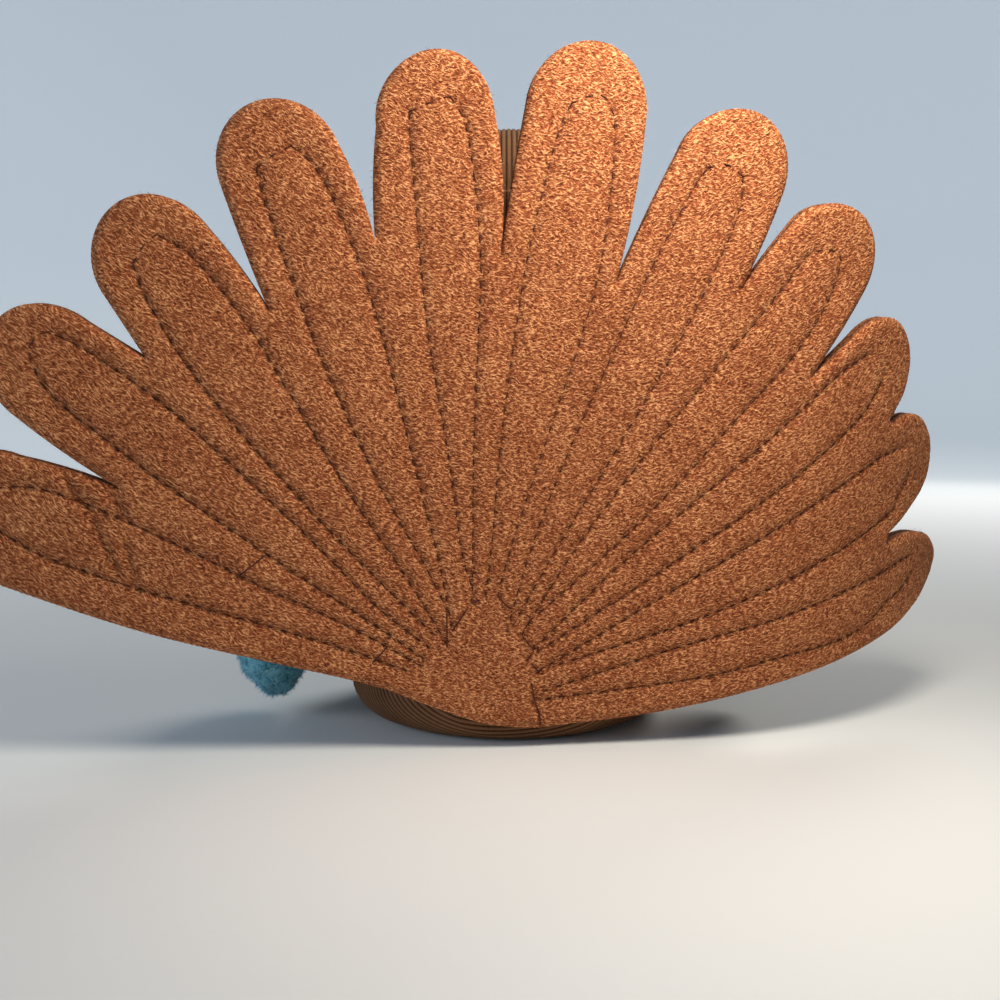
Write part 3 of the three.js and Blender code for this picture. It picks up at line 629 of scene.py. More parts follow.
def fanOutline():
    line = []
    for i, angle in enumerate(fan["angles"]):
        tip = []
        for k in range(fan["tipSteps"] + 1):
            t = math.pi * k / fan["tipSteps"]
            along = (fan["lengths"][i] - fan["tipHeights"][i] * (1 - math.sin(t))
                     - fan["tipSkews"][i] * math.cos(t) * math.sin(t))
            tip.append(polar(angle, along, -fan["halfWidths"][i] * math.cos(t)))
        if i:
            end = polar(*fan["slits"][i - 1])
            bows = fan["bankBows"][i - 1]
            line += [*slitBank(line[-1], end, -bows[0]), end, *slitBank(end, tip[0], -bows[1])]
        line += tip
    lower = smoothThrough([line[-1], *fan["lowerEdge"], line[0]], 8)
    return np.vstack([line, lower[1:-1]])


def nearestTo(lines):
    points = np.vstack(lines)
    tree = kdtree.KDTree(len(points))
    for k, p in enumerate(points):
        tree.insert((p[0], p[1], 0), k)
    tree.balance()

    def look(spots):  # how far each spot is from the lines, and which of their points is nearest
        found = [tree.find((p[0], p[1], 0)) for p in spots]
        return np.array([f[2] for f in found]), np.array([f[1] for f in found])
    return look


def insideOf(outline, points):
    x, y = points[:, 0][:, None], points[:, 1][:, None]
    x0, y0 = outline[:, 0], outline[:, 1]
    x1, y1 = np.roll(x0, -1), np.roll(y0, -1)
    crosses = (y0 > y) != (y1 > y)
    with np.errstate(divide="ignore", invalid="ignore"):
        at = x0 + (y - y0) / (y1 - y0) * (x1 - x0)
    return (crosses & (x < at)).sum(1) % 2 == 1


def sewnParts(line, corners):  # smooth from each corner to the next
    stops = [0, *corners, len(line) - 1]
    return [evenly(smoothThrough(line[a:b + 1], 8), quilt["lineStep"]) for a, b in zip(stops, stops[1:])]


def sewnLine(parts):
    return evenly(np.vstack([parts[0], *[part[1:] for part in parts[1:]]]), quilt["lineStep"])


def sewnRuns(parts):  # each part with room for half a stitch left at its corners
    last = len(parts) - 1
    return [part[2 if k else 0:len(part) - (2 if k < last else 0)] for k, part in enumerate(parts)]


def pullOf(line):  # how hard the thread pulls the felt in: fully along a feather, hardly across its top
    out = line / np.linalg.norm(line, axis=1)[:, None]
    pull = ramp01((np.abs((aheadOf(line) * out).sum(1)) - quilt["pullFrom"]) / quilt["pullRun"])
    window = quilt["pullWindow"]
    return np.convolve(np.pad(pull, window // 2, mode="edge"), np.ones(window) / window, "valid")


outline = evenly(fanOutline(), fan["edgeStep"], closed=True)
feathers = [sewnParts(line, quilt["corners"].get(k, ())) for k, line in enumerate(quilt["lines"])]
quiltLines = [sewnLine(parts) for parts in feathers]
stitchRuns = [run for parts in feathers for run in sewnRuns(parts)]
stitchPull = np.concatenate([pullOf(line) for line in quiltLines])
stitchShow = np.concatenate([pullOf(line) if k in quilt["faintCaps"] else np.ones(len(line))
                             for k, line in enumerate(quiltLines)])
toStitch = nearestTo(quiltLines)
toRun = nearestTo(stitchRuns)
toCrease = nearestTo([evenly(smoothThrough(line, 6), quilt["lineStep"]) for line in quilt["creases"]])
toEdge = nearestTo([evenly(outline, fan["edgeFine"], closed=True)])


def scatter(step):  # spots for the cloth's vertices: closer along the stitching
    taken, spots = {}, []
    cellSize = 1.2  # a little over the widest gap
    rowShare = 0.866  # rows of even triangles

    def offer(p, gap):
        cell = (int(p[0] // cellSize), int(p[1] // cellSize))
        for a in (-1, 0, 1):
            for b in (-1, 0, 1):
                for q in taken.get((cell[0] + a, cell[1] + b), ()):
                    if (p[0] - q[0]) ** 2 + (p[1] - q[1]) ** 2 < gap * gap:
                        return
        taken.setdefault(cell, []).append(p)
        spots.append(p)

    for shift in fan["besideStitches"]:
        for line in quiltLines:
            for p, d in zip(line[::2], aheadOf(line)[::2]):
                offer((p[0] - d[1] * shift, p[1] + d[0] * shift), fan["stitchGap"])
    low, high = outline.min(0), outline.max(0)
    gap = min(step * fan["gapShare"], fan["mostGap"])
    for j in range(int((high[1] - low[1]) / (step * rowShare)) + 1):
        for i in range(int((high[0] - low[0]) / step) + 1):
            offer((low[0] + (i + 0.5 * (j % 2)) * step, low[1] + j * step * rowShare), gap)
    spots = np.array(spots)
    spots = spots[insideOf(outline, spots)]
    return spots[toEdge(spots)[0] > fan["edgeClear"]]


def triangulate(border, spots):
    rows = [Vector(p) for p in (*border, *spots)]
    made = delaunay_2d_cdt(rows, [], [list(range(len(border)))], 1, 1e-6)
    return np.array([tuple(p) for p in made[0]]), made[2]


def feltHeights(flat, phases=None):  # what shapes the cloth: stitching, cut edge and the wave of the tips
    fromStitch, nearest = toStitch(flat)
    fromEdge = toEdge(flat)[0]
    fromCrease = toCrease(flat)[0]
    pull = quilt["capPull"] + (1 - quilt["capPull"]) * stitchPull[nearest]
    held = 1.0 if phases is None else np.cos(phases[toRun(flat)[1]])  # the felt swells between two stitches
    dip = pull * (1 - quilt["pucker"] * (1 - held))
    dip = dip * np.exp(-(fromStitch / quilt["spread"]) ** quilt["falloff"])
    raised = quilt["stitched"] + quilt["puff"] * (1 - dip)
    raised += quilt["pillow"] * (1 - pull * np.exp(-fromStitch / quilt["pillowSpread"]))
    raised -= quilt["creaseDepth"] * np.exp(-(fromCrease / quilt["creaseWidth"]) ** 2)
    raised += np.array([sum(tall * noise.noise((p[0] / size, p[1] / size, seed))
                            for tall, size, seed in quilt["waves"]) for p in flat])
    inwards = ramp01(fromEdge / quilt["edgeBand"] + quilt["edgeStart"])
    raised = quilt["edgeRaise"] + (raised - quilt["edgeRaise"]) * inwards
    inner = np.clip(1 - fromEdge / quilt["rim"], 0, 1)
    raised -= quilt["rim"] * (1 - np.sqrt(1 - inner * inner))
    turn = np.degrees(np.arctan2(flat[:, 0], flat[:, 1]))
    feather = np.abs(turn[:, None] - np.array(fan["angles"])[None]).argmin(1)
    far = np.maximum(0, np.hypot(flat[:, 0], flat[:, 1]) - fan["waveFrom"]) / fan["waveRun"]
    wave = np.array(fan["tipTilts"])[feather] * far ** 2
    # painted shade: how much the felt's colour is darkened along each stitched groove, most at the stitches
    groove = stitchShow[nearest] * np.maximum(pull, quilt["grooveLeast"])
    groove = groove * np.exp(-fromStitch / quilt["grooveWidth"])
    groove = groove * (quilt["grooveShadeLevel"] + quilt["grooveBeat"] * held)
    return raised, wave, groove, fromEdge


def feltThickness(raised):
    return np.clip(raised - fan["innerGap"], fan["thinnest"], fan["thickest"])


def stitchPath(line, side):  # a quilting line sunk into its groove on one face
    raised, wave, _, _ = feltHeights(line)
    sunk = quilt["faintSink"] * (1 - stitchShow[toStitch(line)[1]])
    return onFan(line, wave + side * (raised + quilt["threadRaise"] - sunk))


def phasesOf(paths):  # a full turn from each stitch to the next
    turns = []
    for path in paths:
        along = runAlong(path)
        turns.append(2 * math.pi * max(1, int(along[-1] / quilt["pitch"])) * along / along[-1])
    return np.concatenate(turns)


def fanPanel(name, step, side, phases, material):
    flat, faces = triangulate(outline, scatter(step))
    raised, wave, groove, fromEdge = feltHeights(flat, phases)
    atEdge = np.maximum(raised - fan["edgeGap"], fan["edgeThin"])
    thick = np.where(fromEdge < fan["edgeReach"], atEdge, feltThickness(raised))
    outer = onFan(flat, wave + side * raised)
    inner = onFan(flat, wave + side * (raised - thick))
    total, count = len(flat), len(outline)
    up = [tuple(reversed(f)) if side > 0 else tuple(f) for f in faces]
    down = [tuple(total + v for v in reversed(f)) for f in up]
    wall = []
    for k in range(count):
        n = (k + 1) % count
        quad = (k, n, total + n, total + k)
        wall.append(quad if side > 0 else tuple(reversed(quad)))
    ahead = np.roll(outline, -1, 0) - np.roll(outline, 1, 0)
    outwards = np.stack([ahead[:, 1], -ahead[:, 0]], 1) / np.linalg.norm(ahead, axis=1)[:, None]
    lining = flat.copy()  # the grain runs on over the cut edge
    lining[:count] += fan["liningShift"] * outwards
    # painted shade: the inner face and the inner half of the cut edge are darkened like a groove
    marks = {"groove": np.concatenate([groove, np.full(total, fan["liningShade"])])}
    piece = meshPiece(name, np.vstack([outer, inner]), [*up, *down, *wall], material,
                      np.vstack([flat, lining]), marks)
    weldAndSmooth(piece, 1e-7)
    coat = meshPiece(name + "Outer", outer, up, material)
    edge = meshPiece(name + "Edge", np.vstack([outer[:count], inner[:count]]),
                     [tuple(v if v < total else v - total + count for v in q) for q in wall], material)
    return piece, coat, edge


stitchPaths = {side: [stitchPath(run, side) for run in stitchRuns] for side in (1, -1)}
fanFaces = {}
for name, step, side, node in (("tailBack", fan["backStep"], 1, "tail_back_panel"),
                               ("tailFront", fan["frontStep"], -1, "tail_front_panel")):
    panel, coat, edge = fanPanel(name, step, side, phasesOf(stitchPaths[side]), rustFelt)
    place(panel, "tail", "tail_felt", node)
    fanFaces[side] = (coat, edge)
    print(name, len(panel.data.polygons), "faces")

for name, side in (("tailStitchesBack", 1), ("tailStitchesFront", -1)):
    thread = place(stitchesOn(name, stitchPaths[side], quilt, brownThread), "tail", "tail_felt")
    print(name, len(thread.data.polygons), "faces")


def threadTube(name, lines, radius, material, sides=6):
    points, faces = [], []
    for line in lines:
        start, rings = len(points), len(line)
        for p, d in zip(line, aheadOf(line)):
            u = np.cross(d, (0.3, 0.9, 0.2))  # any direction that no thread runs along
            u /= np.linalg.norm(u)
            v = np.cross(d, u)
            for a in ringTurns(sides):
                points.append(p + radius * (u * math.cos(a) + v * math.sin(a)))
        faces += ringFaces(rings, sides, start)
        faces += [tuple(start + end * sides + k for k in range(sides)) for end in (0, rings - 1)]
    return weldAndSmooth(meshPiece(name, points, faces, material))


def looseLine(line):  # a loose end lies on the felt and bridges its grooves
    flat = evenly(smoothThrough(line, 6), quilt["looseStep"])
    raised, wave, _, _ = feltHeights(flat)
    level = np.maximum(raised, raised.max() - quilt["looseSink"])
    return onFan(flat, wave + level + quilt["looseRaise"])


looseThreads = threadTube("tailLooseThreads", [looseLine(line) for line in quilt["looseThreads"]],
                          quilt["looseRadius"], brownThread)
place(looseThreads, "tail", "tail_felt")

for name, side, share in (("tailFuzzBack", 1, 1.0), ("tailFuzzFront", -1, feltNap["frontShare"])):
    coat, edge = fanFaces[side]
    nap = fibresOn(name, coat, {**feltNap, "density": feltNap["density"] * share}, rustFibre)
    place(nap, "tail", "tail_felt")
    stray = fibresOn(name + "Edge", edge, edgeStrays, rustFibre)
    place(stray, "tail", "tail_felt")
    print(name, len(nap.data.polygons), "and", len(stray.data.polygons), "faces")
    bpy.data.objects.remove(coat)
    bpy.data.objects.remove(edge)


def fanWadding(material):  # thin sheet of wadding between the panels, kept back from the cut edge
    step = fan["waddingStep"]
    low, high = outline.min(0), outline.max(0)
    wide, tall = (int((high[k] - low[k]) / step) + 2 for k in (0, 1))
    flat = np.array([(low[0] + i * step, low[1] + j * step) for j in range(tall) for i in range(wide)])
    well = insideOf(outline, flat) & (toEdge(flat)[0] > fan["waddingClear"])
    raised, wave, _, _ = feltHeights(flat)
    half = raised - feltThickness(raised) - fan["waddingGap"]
    total = len(flat)
    faces, edges = [], {}
    for j in range(tall - 1):
        for i in range(wide - 1):
            ring = (j * wide + i, (j + 1) * wide + i, (j + 1) * wide + i + 1, j * wide + i + 1)
            if well[list(ring)].all():
                faces.append(ring)
                faces.append(tuple(total + v for v in reversed(ring)))
                for a, b in zip(ring, ring[1:] + ring[:1]):
                    edges[(a, b)] = (b, a, total + a, total + b)
    faces += [quad for (a, b), quad in edges.items() if (b, a) not in edges]
    points = np.vstack([onFan(flat, wave + half), onFan(flat, wave - half)])
    return weldAndSmooth(meshPiece("tailWadding", points, faces, material))


def grainMaterial(name, dark, light, grainMm, rough, bump):
    # Hidden pieces: crimped polyester fill and wadding in off-white tufts, unbleached cotton round the
    # pellets, grey-brown board with short paper fibres, and milky moulded washers.
    material, tree, shader = newMaterial(name)
    at = addNode(tree, "ShaderNodeTexCoord").outputs["Object"]
    grain = addNode(tree, "ShaderNodeTexNoise", {"Vector": at, "Scale": 1 / (grainMm * mm), "Detail": 4.0})
    colours = addNode(tree, "ShaderNodeValToRGB", {0: grain.outputs[0]})
    setStops(colours, (0.32, dark), (0.68, light))
    relief = addNode(tree, "ShaderNodeBump", {
        "Height": grain.outputs[0], "Distance": bump * mm, "Strength": 0.6})
    setInputs(tree, shader, {
        "Base Color": colours.outputs[0], "Normal": relief.outputs[0], "Roughness": rough})
    return material


fibreFill = grainMaterial("polyesterFill", "#d9d5ca", "#f6f4ee", 1.6, 1.0, 0.3)
pelletCotton = grainMaterial("unbleachedCotton", "#c3b698", "#e6dcc6", 0.5, 0.95, 0.1)
greyBoard = grainMaterial("greyPaperboard", "#97836a", "#c3ae8b", 0.9, 0.9, 0.03)
washerPlastic = grainMaterial("milkyWasherPlastic", "#d8d6d0", "#efeeea", 4.0, 0.45, 0.01)
hidden = {"base_board": greyBoard, "weight_bag": pelletCotton, "body_stuffing": fibreFill,
          "left_eye_washer": washerPlastic, "right_eye_washer": washerPlastic}
for name, material in hidden.items():
    solid = bpy.data.objects[name]
    solid.data.materials.clear()
    solid.data.materials.append(material)

wadding = fanWadding(fibreFill)
place(wadding, "tail", "fibre_fill", "tail_batting")
print("wadding:", len(wadding.data.polygons), "faces")


# body, base and head: corduroy covers sewn from four gores, with a round base panel

corduroy = {"pitch": 1.5, "ridge": 0.45, "perWale": 4, "rowStep": 2.2, "seamDip": 0.9, "seamWidth": 1.6,
            "crossWidth": 2.2, "baseSeam": 2.0, "lumps": 0.5, "lumpSize": 24, "puff": 0.35, "gores": 4,
            "lumpSeed": 2.7, "roundness": 0.8, "seamShade": 0.6, "pile": 0.42, "worn": 13, "bump": 0.12}
bodyForm = {"side": [(48.5, 14), (50, 42), (41, 86), (26.64, 113)], "seam": 14, "neck": 113,
            "floor": [(0, 14.1), (20, 14.1), (44, 14.1)], "sideFrom": 14.15,  # closed inside below and above
            "top": [(25.2, 113.5), (18, 113.5), (0, 113.5)],
            "baseFlat": 38.5, "baseCorner": 10, "baseColumns": 56, "baseRise": 0.1, "baseRiseRun": 8,
            "pressedTo": 3.5}
headForm = {"radius": 33.5, "half": 39.5, "centre": 137, "bottom": 113.2, "crown": 38.5, "cloth": 2.2,
            "floor": [(0, 112.7), (18, 112.7), (25.2, 112.7)], "arcSteps": 60, "fillSteps": 40,
            "fillAround": 48}
bodySide = smoothThrough(bodyForm["side"], 12)


def bodyRadius(height):
    return np.interp(height, bodySide[:, 1], bodySide[:, 0])


def corduroyMaterial():
    # Cotton corduroy: soft cut pile standing in round cords, pale on the crown as a painted highlight where
    # it catches the light, with painted shade over the ground weave that shows in the grooves between them.
    material, tree, shader = newMaterial("tanCottonCorduroy")
    at = addNode(tree, "ShaderNodeTexCoord").outputs["Object"]
    wale = addNode(tree, "ShaderNodeAttribute", attribute_name="wale")
    pile = addNode(tree, "ShaderNodeTexNoise", {
        "Vector": at, "Scale": 1 / (corduroy["pile"] * mm), "Detail": 3.0, "Roughness": 0.7})
    worn = addNode(tree, "ShaderNodeTexNoise", {
        "Vector": at, "Scale": 1 / (corduroy["worn"] * mm), "Detail": 2.0})
    ruffle = addNode(tree, "ShaderNodeMapRange", {0: pile.outputs[0], 1: 0.25, 2: 0.75, 3: -0.22, 4: 0.22})
    patch = addNode(tree, "ShaderNodeMapRange", {0: worn.outputs[0], 1: 0.3, 2: 0.7, 3: -0.09, 4: 0.09})
    both = addNode(tree, "ShaderNodeMath", {0: ruffle.outputs[0], 1: patch.outputs[0]}, operation="ADD")
    # the cords' height sets the colour: painted highlight on the crowns, painted shade in the grooves
    tone = addNode(tree, "ShaderNodeMath", {0: wale.outputs["Fac"], 1: both.outputs[0]}, operation="ADD")
    colours = addNode(tree, "ShaderNodeValToRGB", {0: tone.outputs[0]})
    setStops(colours, (0.08, "#2e180a"), (0.55, "#5c3b23"), (1.0, "#7d583b"))
    relief = addNode(tree, "ShaderNodeBump", {
        "Height": pile.outputs[0], "Distance": corduroy["bump"] * mm, "Strength": 0.8})
    setInputs(tree, shader, {
        "Base Color": colours.outputs[0], "Normal": relief.outputs[0], "Roughness": 0.9,
        "Specular IOR Level": 0.2, "Sheen Weight": 0.12, "Sheen Roughness": 0.4,
        "Sheen Tint": srgb("#d8b48a")})
    return material


def waleHeight(across):  # round cords with narrow grooves
    return np.abs(np.sin(math.pi * across / corduroy["pitch"])) ** corduroy["roundness"]


def lumpsAt(points, size, seed):
    return np.array([noise.noise((p[0] / size, p[1] / size, p[2] / size + seed)) for p in points])


def pressBack(points):  # the tail's front holds the back flat
    back = fanStand @ np.array((0, 1, 0))
    excess = (points - np.array(fan["root"])) @ back + bodyForm["pressedTo"]
    return points - np.outer(np.maximum(excess, 0), back)


def goreCover(name, rows, dips, material, press=False):
    # rows are (radius, height, swell 0..1) from the bottom up; dips are the heights of cross seams
    rows = np.array(rows, float)
    radius, height, swell = rows[:, 0], rows[:, 1], rows[:, 2]
    slope = np.stack([np.gradient(radius), np.gradient(height)], 1)
    slope /= np.maximum(np.linalg.norm(slope, axis=1), 1e-9)[:, None]
    spread = math.pi / corduroy["gores"]
    step = corduroy["pitch"] / corduroy["perWale"]
    reach = int(radius.max() * spread / step) + 1
    columns = np.arange(-reach, reach + 1) * step
    half = (radius * spread)[:, None]
    beyond = np.abs(columns[None, :]) >= half  # past the seam, where all points of a row fall together
    across = np.clip(columns[None, :], -half, half)
    wale = np.where(beyond, 0.0, waleHeight(columns + corduroy["pitch"] / 2)[None, :])
    seam = np.exp(-((half - np.abs(across)) / corduroy["seamWidth"]) ** 2)
    cross = np.max([np.exp(-((height - d) / corduroy["crossWidth"]) ** 2) for d in dips], 0)[:, None]
    plain = corduroy["puff"] + corduroy["ridge"] * (wale - 0.5)
    plain = plain - corduroy["seamDip"] * np.maximum(seam, cross)
    points, faces, waleShading = [], [], []
    for g in range(corduroy["gores"]):
        middle = math.pi / 2 + g * 2 * math.pi / corduroy["gores"]
        angle = middle + across / np.maximum(radius, 1e-6)[:, None]
        spot = np.stack([radius[:, None] * np.cos(angle), radius[:, None] * np.sin(angle),
                         np.repeat(height[:, None], len(columns), 1)], -1)
        lump = lumpsAt(spot.reshape(-1, 3), corduroy["lumpSize"], corduroy["lumpSeed"]).reshape(wale.shape)
        out = (plain + lump * corduroy["lumps"]) * swell[:, None]
        wide = radius[:, None] + out * slope[:, 1:2]
        swollen = np.stack([wide * np.cos(angle), wide * np.sin(angle),
                            height[:, None] - out * slope[:, 0:1]], -1)
        base = g * len(rows) * len(columns)
        for i in range(len(rows) - 1):
            for k in range(len(columns) - 1):
                if beyond[i:i + 2, k:k + 2].all() and columns[k] * columns[k + 1] > 0:
                    continue
                a = base + i * len(columns) + k
                faces.append((a, a + 1, a + len(columns) + 1, a + len(columns)))
        points.append(swollen.reshape(-1, 3))
        # painted shade: the cords' tone is darkened further along the seams
        waleShading.append((wale * (1 - corduroy["seamShade"] * seam)).reshape(-1))
    points = np.vstack(points)
    if press:
        points = pressBack(points)
    piece = meshPiece(name, points, faces, material, marks={"wale": np.concatenate(waleShading)})
    return weldAndSmooth(piece, 2e-6)


def bodyRows():
    side = [(r, max(z, bodyForm["sideFrom"]), 1) for r, z in evenly(bodySide, corduroy["rowStep"])]
    return [*[(r, z, 0) for r, z in bodyForm["floor"]], *side, *[(r, z, 0) for r, z in bodyForm["top"]]]


def headArc(inset, steps):  # the head's side from the neck up to the crown
    start = math.asin((headForm["bottom"] - headForm["centre"]) / headForm["half"])
    arc = []
    for k in range(steps + 1):
        a = start + (math.pi / 2 - start) * k / steps
        tall = headForm["half" if a < 0 else "crown"] - inset
        arc.append(((headForm["radius"] - inset) * math.cos(a), headForm["centre"] + tall * math.sin(a)))
    return arc


def headRows():
    side = [(max(r, 0), z, 1) for r, z in evenly(headArc(0, headForm["arcSteps"]), corduroy["rowStep"])]
    return [*[(r, z, 0) for r, z in headForm["floor"]], *side]


def basePanel(material):  # a disc gathered up round the board, its cords running straight across
    flatEnd, corner = bodyForm["baseFlat"], bodyForm["baseCorner"]
    bend = corner * math.pi / 2
    full = flatEnd + bend + bodyForm["seam"] - corner
    step = corduroy["pitch"] / corduroy["perWale"]
    lines = np.arange(-int(full / step), int(full / step) + 1) * step
    cross = np.linspace(-1, 1, bodyForm["baseColumns"])
    t = np.repeat(lines[:, None], len(cross), 1)
    s = cross[None, :] * np.sqrt(np.maximum(full ** 2 - lines ** 2, 0))[:, None]
    run = np.minimum(np.hypot(s, t), full)
    turn = np.clip((run - flatEnd) / corner, 0, math.pi / 2)
    radius = np.minimum(run, flatEnd) + corner * np.sin(turn)
    height = corner * (1 - np.cos(turn)) + np.maximum(0, run - flatEnd - bend)
    angle = np.arctan2(t, s)
    # painted highlight on the crowns and painted shade between the cords, as on the gores
    wale = waleHeight(lines)[:, None] * np.ones_like(s)
    rise = ramp01((run - flatEnd) / bodyForm["baseRiseRun"]) * bodyForm["baseRise"]
    out = corduroy["ridge"] * (wale - 1) + rise
    out = out - corduroy["seamDip"] * np.exp(-((full - run) / corduroy["baseSeam"]) ** 2)
    wide = radius + out * np.sin(turn)
    points = np.stack([wide * np.cos(angle), wide * np.sin(angle),
                       np.maximum(height - out * np.cos(turn), 0)], -1).reshape(-1, 3)
    rows, columns = s.shape
    faces = [(i * columns + k, i * columns + k + 1, (i + 1) * columns + k + 1, (i + 1) * columns + k)
             for i in range(rows - 1) for k in range(columns - 1)]
    piece = meshPiece("baseCover", pressBack(points), faces, material, marks={"wale": wale.reshape(-1)})
    return weldAndSmooth(piece, 2e-6, closeHoles=True)


tanCorduroy = corduroyMaterial()
bodyCover = goreCover("bodyCover", bodyRows(), (bodyForm["seam"], bodyForm["neck"]), tanCorduroy, press=True)
headCover = goreCover("headCover", headRows(), (bodyForm["neck"],), tanCorduroy)
baseCover = basePanel(tanCorduroy)
for piece, node in ((bodyCover, "body_cover"), (headCover, "head_cover"), (baseCover, "base_panel")):
    place(piece, "body", "corduroy", node)
    print(piece.name, len(piece.data.polygons), "faces")

fillArc = headArc(headForm["cloth"], headForm["fillSteps"])  # the fill lies a cloth's thickness inside
headFilling = latheOn("headFilling", [(0, fillArc[0][1]), *fillArc], headForm["fillAround"],
                      Matrix.Identity(4), fibreFill)
place(headFilling, "body", "fibre_fill", "head_stuffing")


# face: button eyes, a stuffed felt beak, and the snood and wattle cut from single felt

face = {"eyeRadius": 5, "eyeHeight": 4.5, "eyeSpread": 30, "eyeRise": 12, "eyeSeat": 0.45, "eyeAround": 40,
        "eyeSteps": 14, "domeFrom": 0.25,
        "eyeStem": [(0, -9), (1.4, -9), (1.6, -8.6), (1.6, -0.2), (4.6, -0.2), (4.92, -0.02)],
        "beakLength": 26, "beakRadius": 9.5, "beakDrop": 6, "beakDroop": 8, "beakBack": [(0, -3), (5, -3)],
        "beakSeat": 2.6, "beakSteps": 33, "beakAround": 56, "beakPlump": 0.25, "plumpRun": 20,
        "snoodWidth": 7, "snoodThick": 1.8, "snoodDrop": 17, "snoodWrap": 100, "snoodSetback": 4,
        "snoodClear": 0.4, "snoodSteps": 24, "snoodWave": 0.5, "snoodWaveRun": 4,
        "wattleTop": (0, -41.11, 121.2), "wattleLength": 24, "wattleHalf": 6.5, "wattleThick": 1.8,
        "wattleTab": 1.4, "wattleSteps": 40, "wattleBow": 0.5}  # the tab is sewn up into the beak
beakSewing = {"pitch": 2.3, "stitchLength": 1.7, "thread": 0.5, "wander": 0.15, "raise": 0.12,
              "pathStep": 0.5}
beakNap = {"density": 900000.0, "length": 1.3, "width": 0.07, "arch": 0.2, "lift": 0.4, "spread": 2.4,
           "nap": (1.0, 0.0, 0.0)}
redNap = {**beakNap, "density": 1400000.0, "lift": 0.5}


def eyeMaterial():
    # Moulded black safety eye: deep polished plastic with the faint unevenness of a moulding.
    material, tree, shader = newMaterial("blackGlossPlastic")
    at = addNode(tree, "ShaderNodeTexCoord").outputs["Object"]
    haze = addNode(tree, "ShaderNodeTexNoise", {"Vector": at, "Scale": 1 / (1.2 * mm), "Detail": 3.0})
    gloss = addNode(tree, "ShaderNodeMapRange", {0: haze.outputs[0], 1: 0.3, 2: 0.7, 3: 0.06, 4: 0.16})
    colours = addNode(tree, "ShaderNodeValToRGB", {0: haze.outputs[0]})
    setStops(colours, (0, "#0b0807"), (1, "#1c1512"))
    setInputs(tree, shader, {"Base Color": colours.outputs[0], "Roughness": gloss.outputs[0]})
    return material


def eyeStand(side):
    around, rise = math.radians(face["eyeSpread"]) * side, math.radians(face["eyeRise"])
    aim = Vector((math.cos(rise) * math.sin(around), -math.cos(rise) * math.cos(around), math.sin(rise)))
    wide, tall = headForm["radius"], headForm["half"]
    out = Vector((aim.x / wide, aim.y / wide, aim.z / tall)).normalized()
    spot = Vector((aim.x * wide, aim.y * wide, headForm["centre"] + aim.z * tall))
    return Matrix.Translation(spot + out * face["eyeSeat"]) @ out.to_track_quat("Z", "Y").to_matrix().to_4x4()


def eyeRows():
    rows = list(face["eyeStem"])
    for k in range(face["eyeSteps"] + 1):
        a = math.pi / 2 * k / face["eyeSteps"]
        rise = face["domeFrom"] + (face["eyeHeight"] - face["domeFrom"]) * math.sin(a)
        rows.append((face["eyeRadius"] * math.cos(a), rise))
    return rows


blackPlastic = eyeMaterial()
for name, node, side in (("leftEye", "left_eye", 1), ("rightEye", "right_eye", -1)):
    eye = latheOn(name, eyeRows(), face["eyeAround"], eyeStand(side), blackPlastic)
    place(eye, "body", "eye_plastic", node)

orangeFelt = feltMaterial("orangeWoolFelt", "#a85c12", "#d98a2b", "#f0b465", feltLook["faceFibre"])
redFelt = feltMaterial("redWoolFelt", "#7d1418", "#b3262c", "#d65b55", feltLook["faceFibre"])
orangeFibre = fibreMaterial("orangeFeltFibres", "#c07420", "#f3c07c")
redFibre = fibreMaterial("redFeltFibres", "#98191f", "#dd6f68")
orangeThread = threadMaterial("orangePolyesterThread", "#8a4a10", "#c97a24")
faceReach = headForm["radius"] * math.sqrt(1 - (face["beakDrop"] / headForm["half"]) ** 2)
beakStand = (Matrix.Translation((0, -faceReach, headForm["centre"] - face["beakDrop"]))
             @ Matrix.Rotation(math.pi / 2 + math.radians(face["beakDroop"]), 4, "X"))


def beakRadius(forward):
    return face["beakRadius"] * math.sqrt(max(0, 1 - max(0, forward) / face["beakLength"]))


def beakRows():
    rows = list(face["beakBack"])
    for k in range(face["beakSteps"] + 1):
        share = 1 - (1 - k / face["beakSteps"]) ** 2
        forward = -face["beakSeat"] + (face["beakLength"] + face["beakSeat"]) * share
        plump = face["beakPlump"] * math.sin(math.pi * min(1, max(0, forward / face["plumpRun"])))
        rows.append((beakRadius(forward) + plump, forward))
    return rows


beak = latheOn("beakFelt", beakRows(), face["beakAround"], beakStand, orangeFelt)
place(beak, "body", "beak_felt", "beak")
seams = [[list(beakStand @ Vector((side * (r + beakSewing["raise"]), 0, z))) for r, z in beakRows()[4:-1]]
         for side in (1, -1)]
beakSeam = stitchesOn("beakSeam", [evenly(line, beakSewing["pathStep"]) for line in seams], beakSewing,
                      orangeThread)
place(beakSeam, "body", "beak_felt")
place(fibresOn("beakFuzz", beak, beakNap, orangeFibre), "body", "beak_felt")


# powers under 1 square the cut's section off, and a narrow end is thinner too
cutForm = {"ringPoints": 20, "squareAcross": 0.35, "squareThrough": 0.55, "thinEnd": 0.35, "narrow": 0.9}


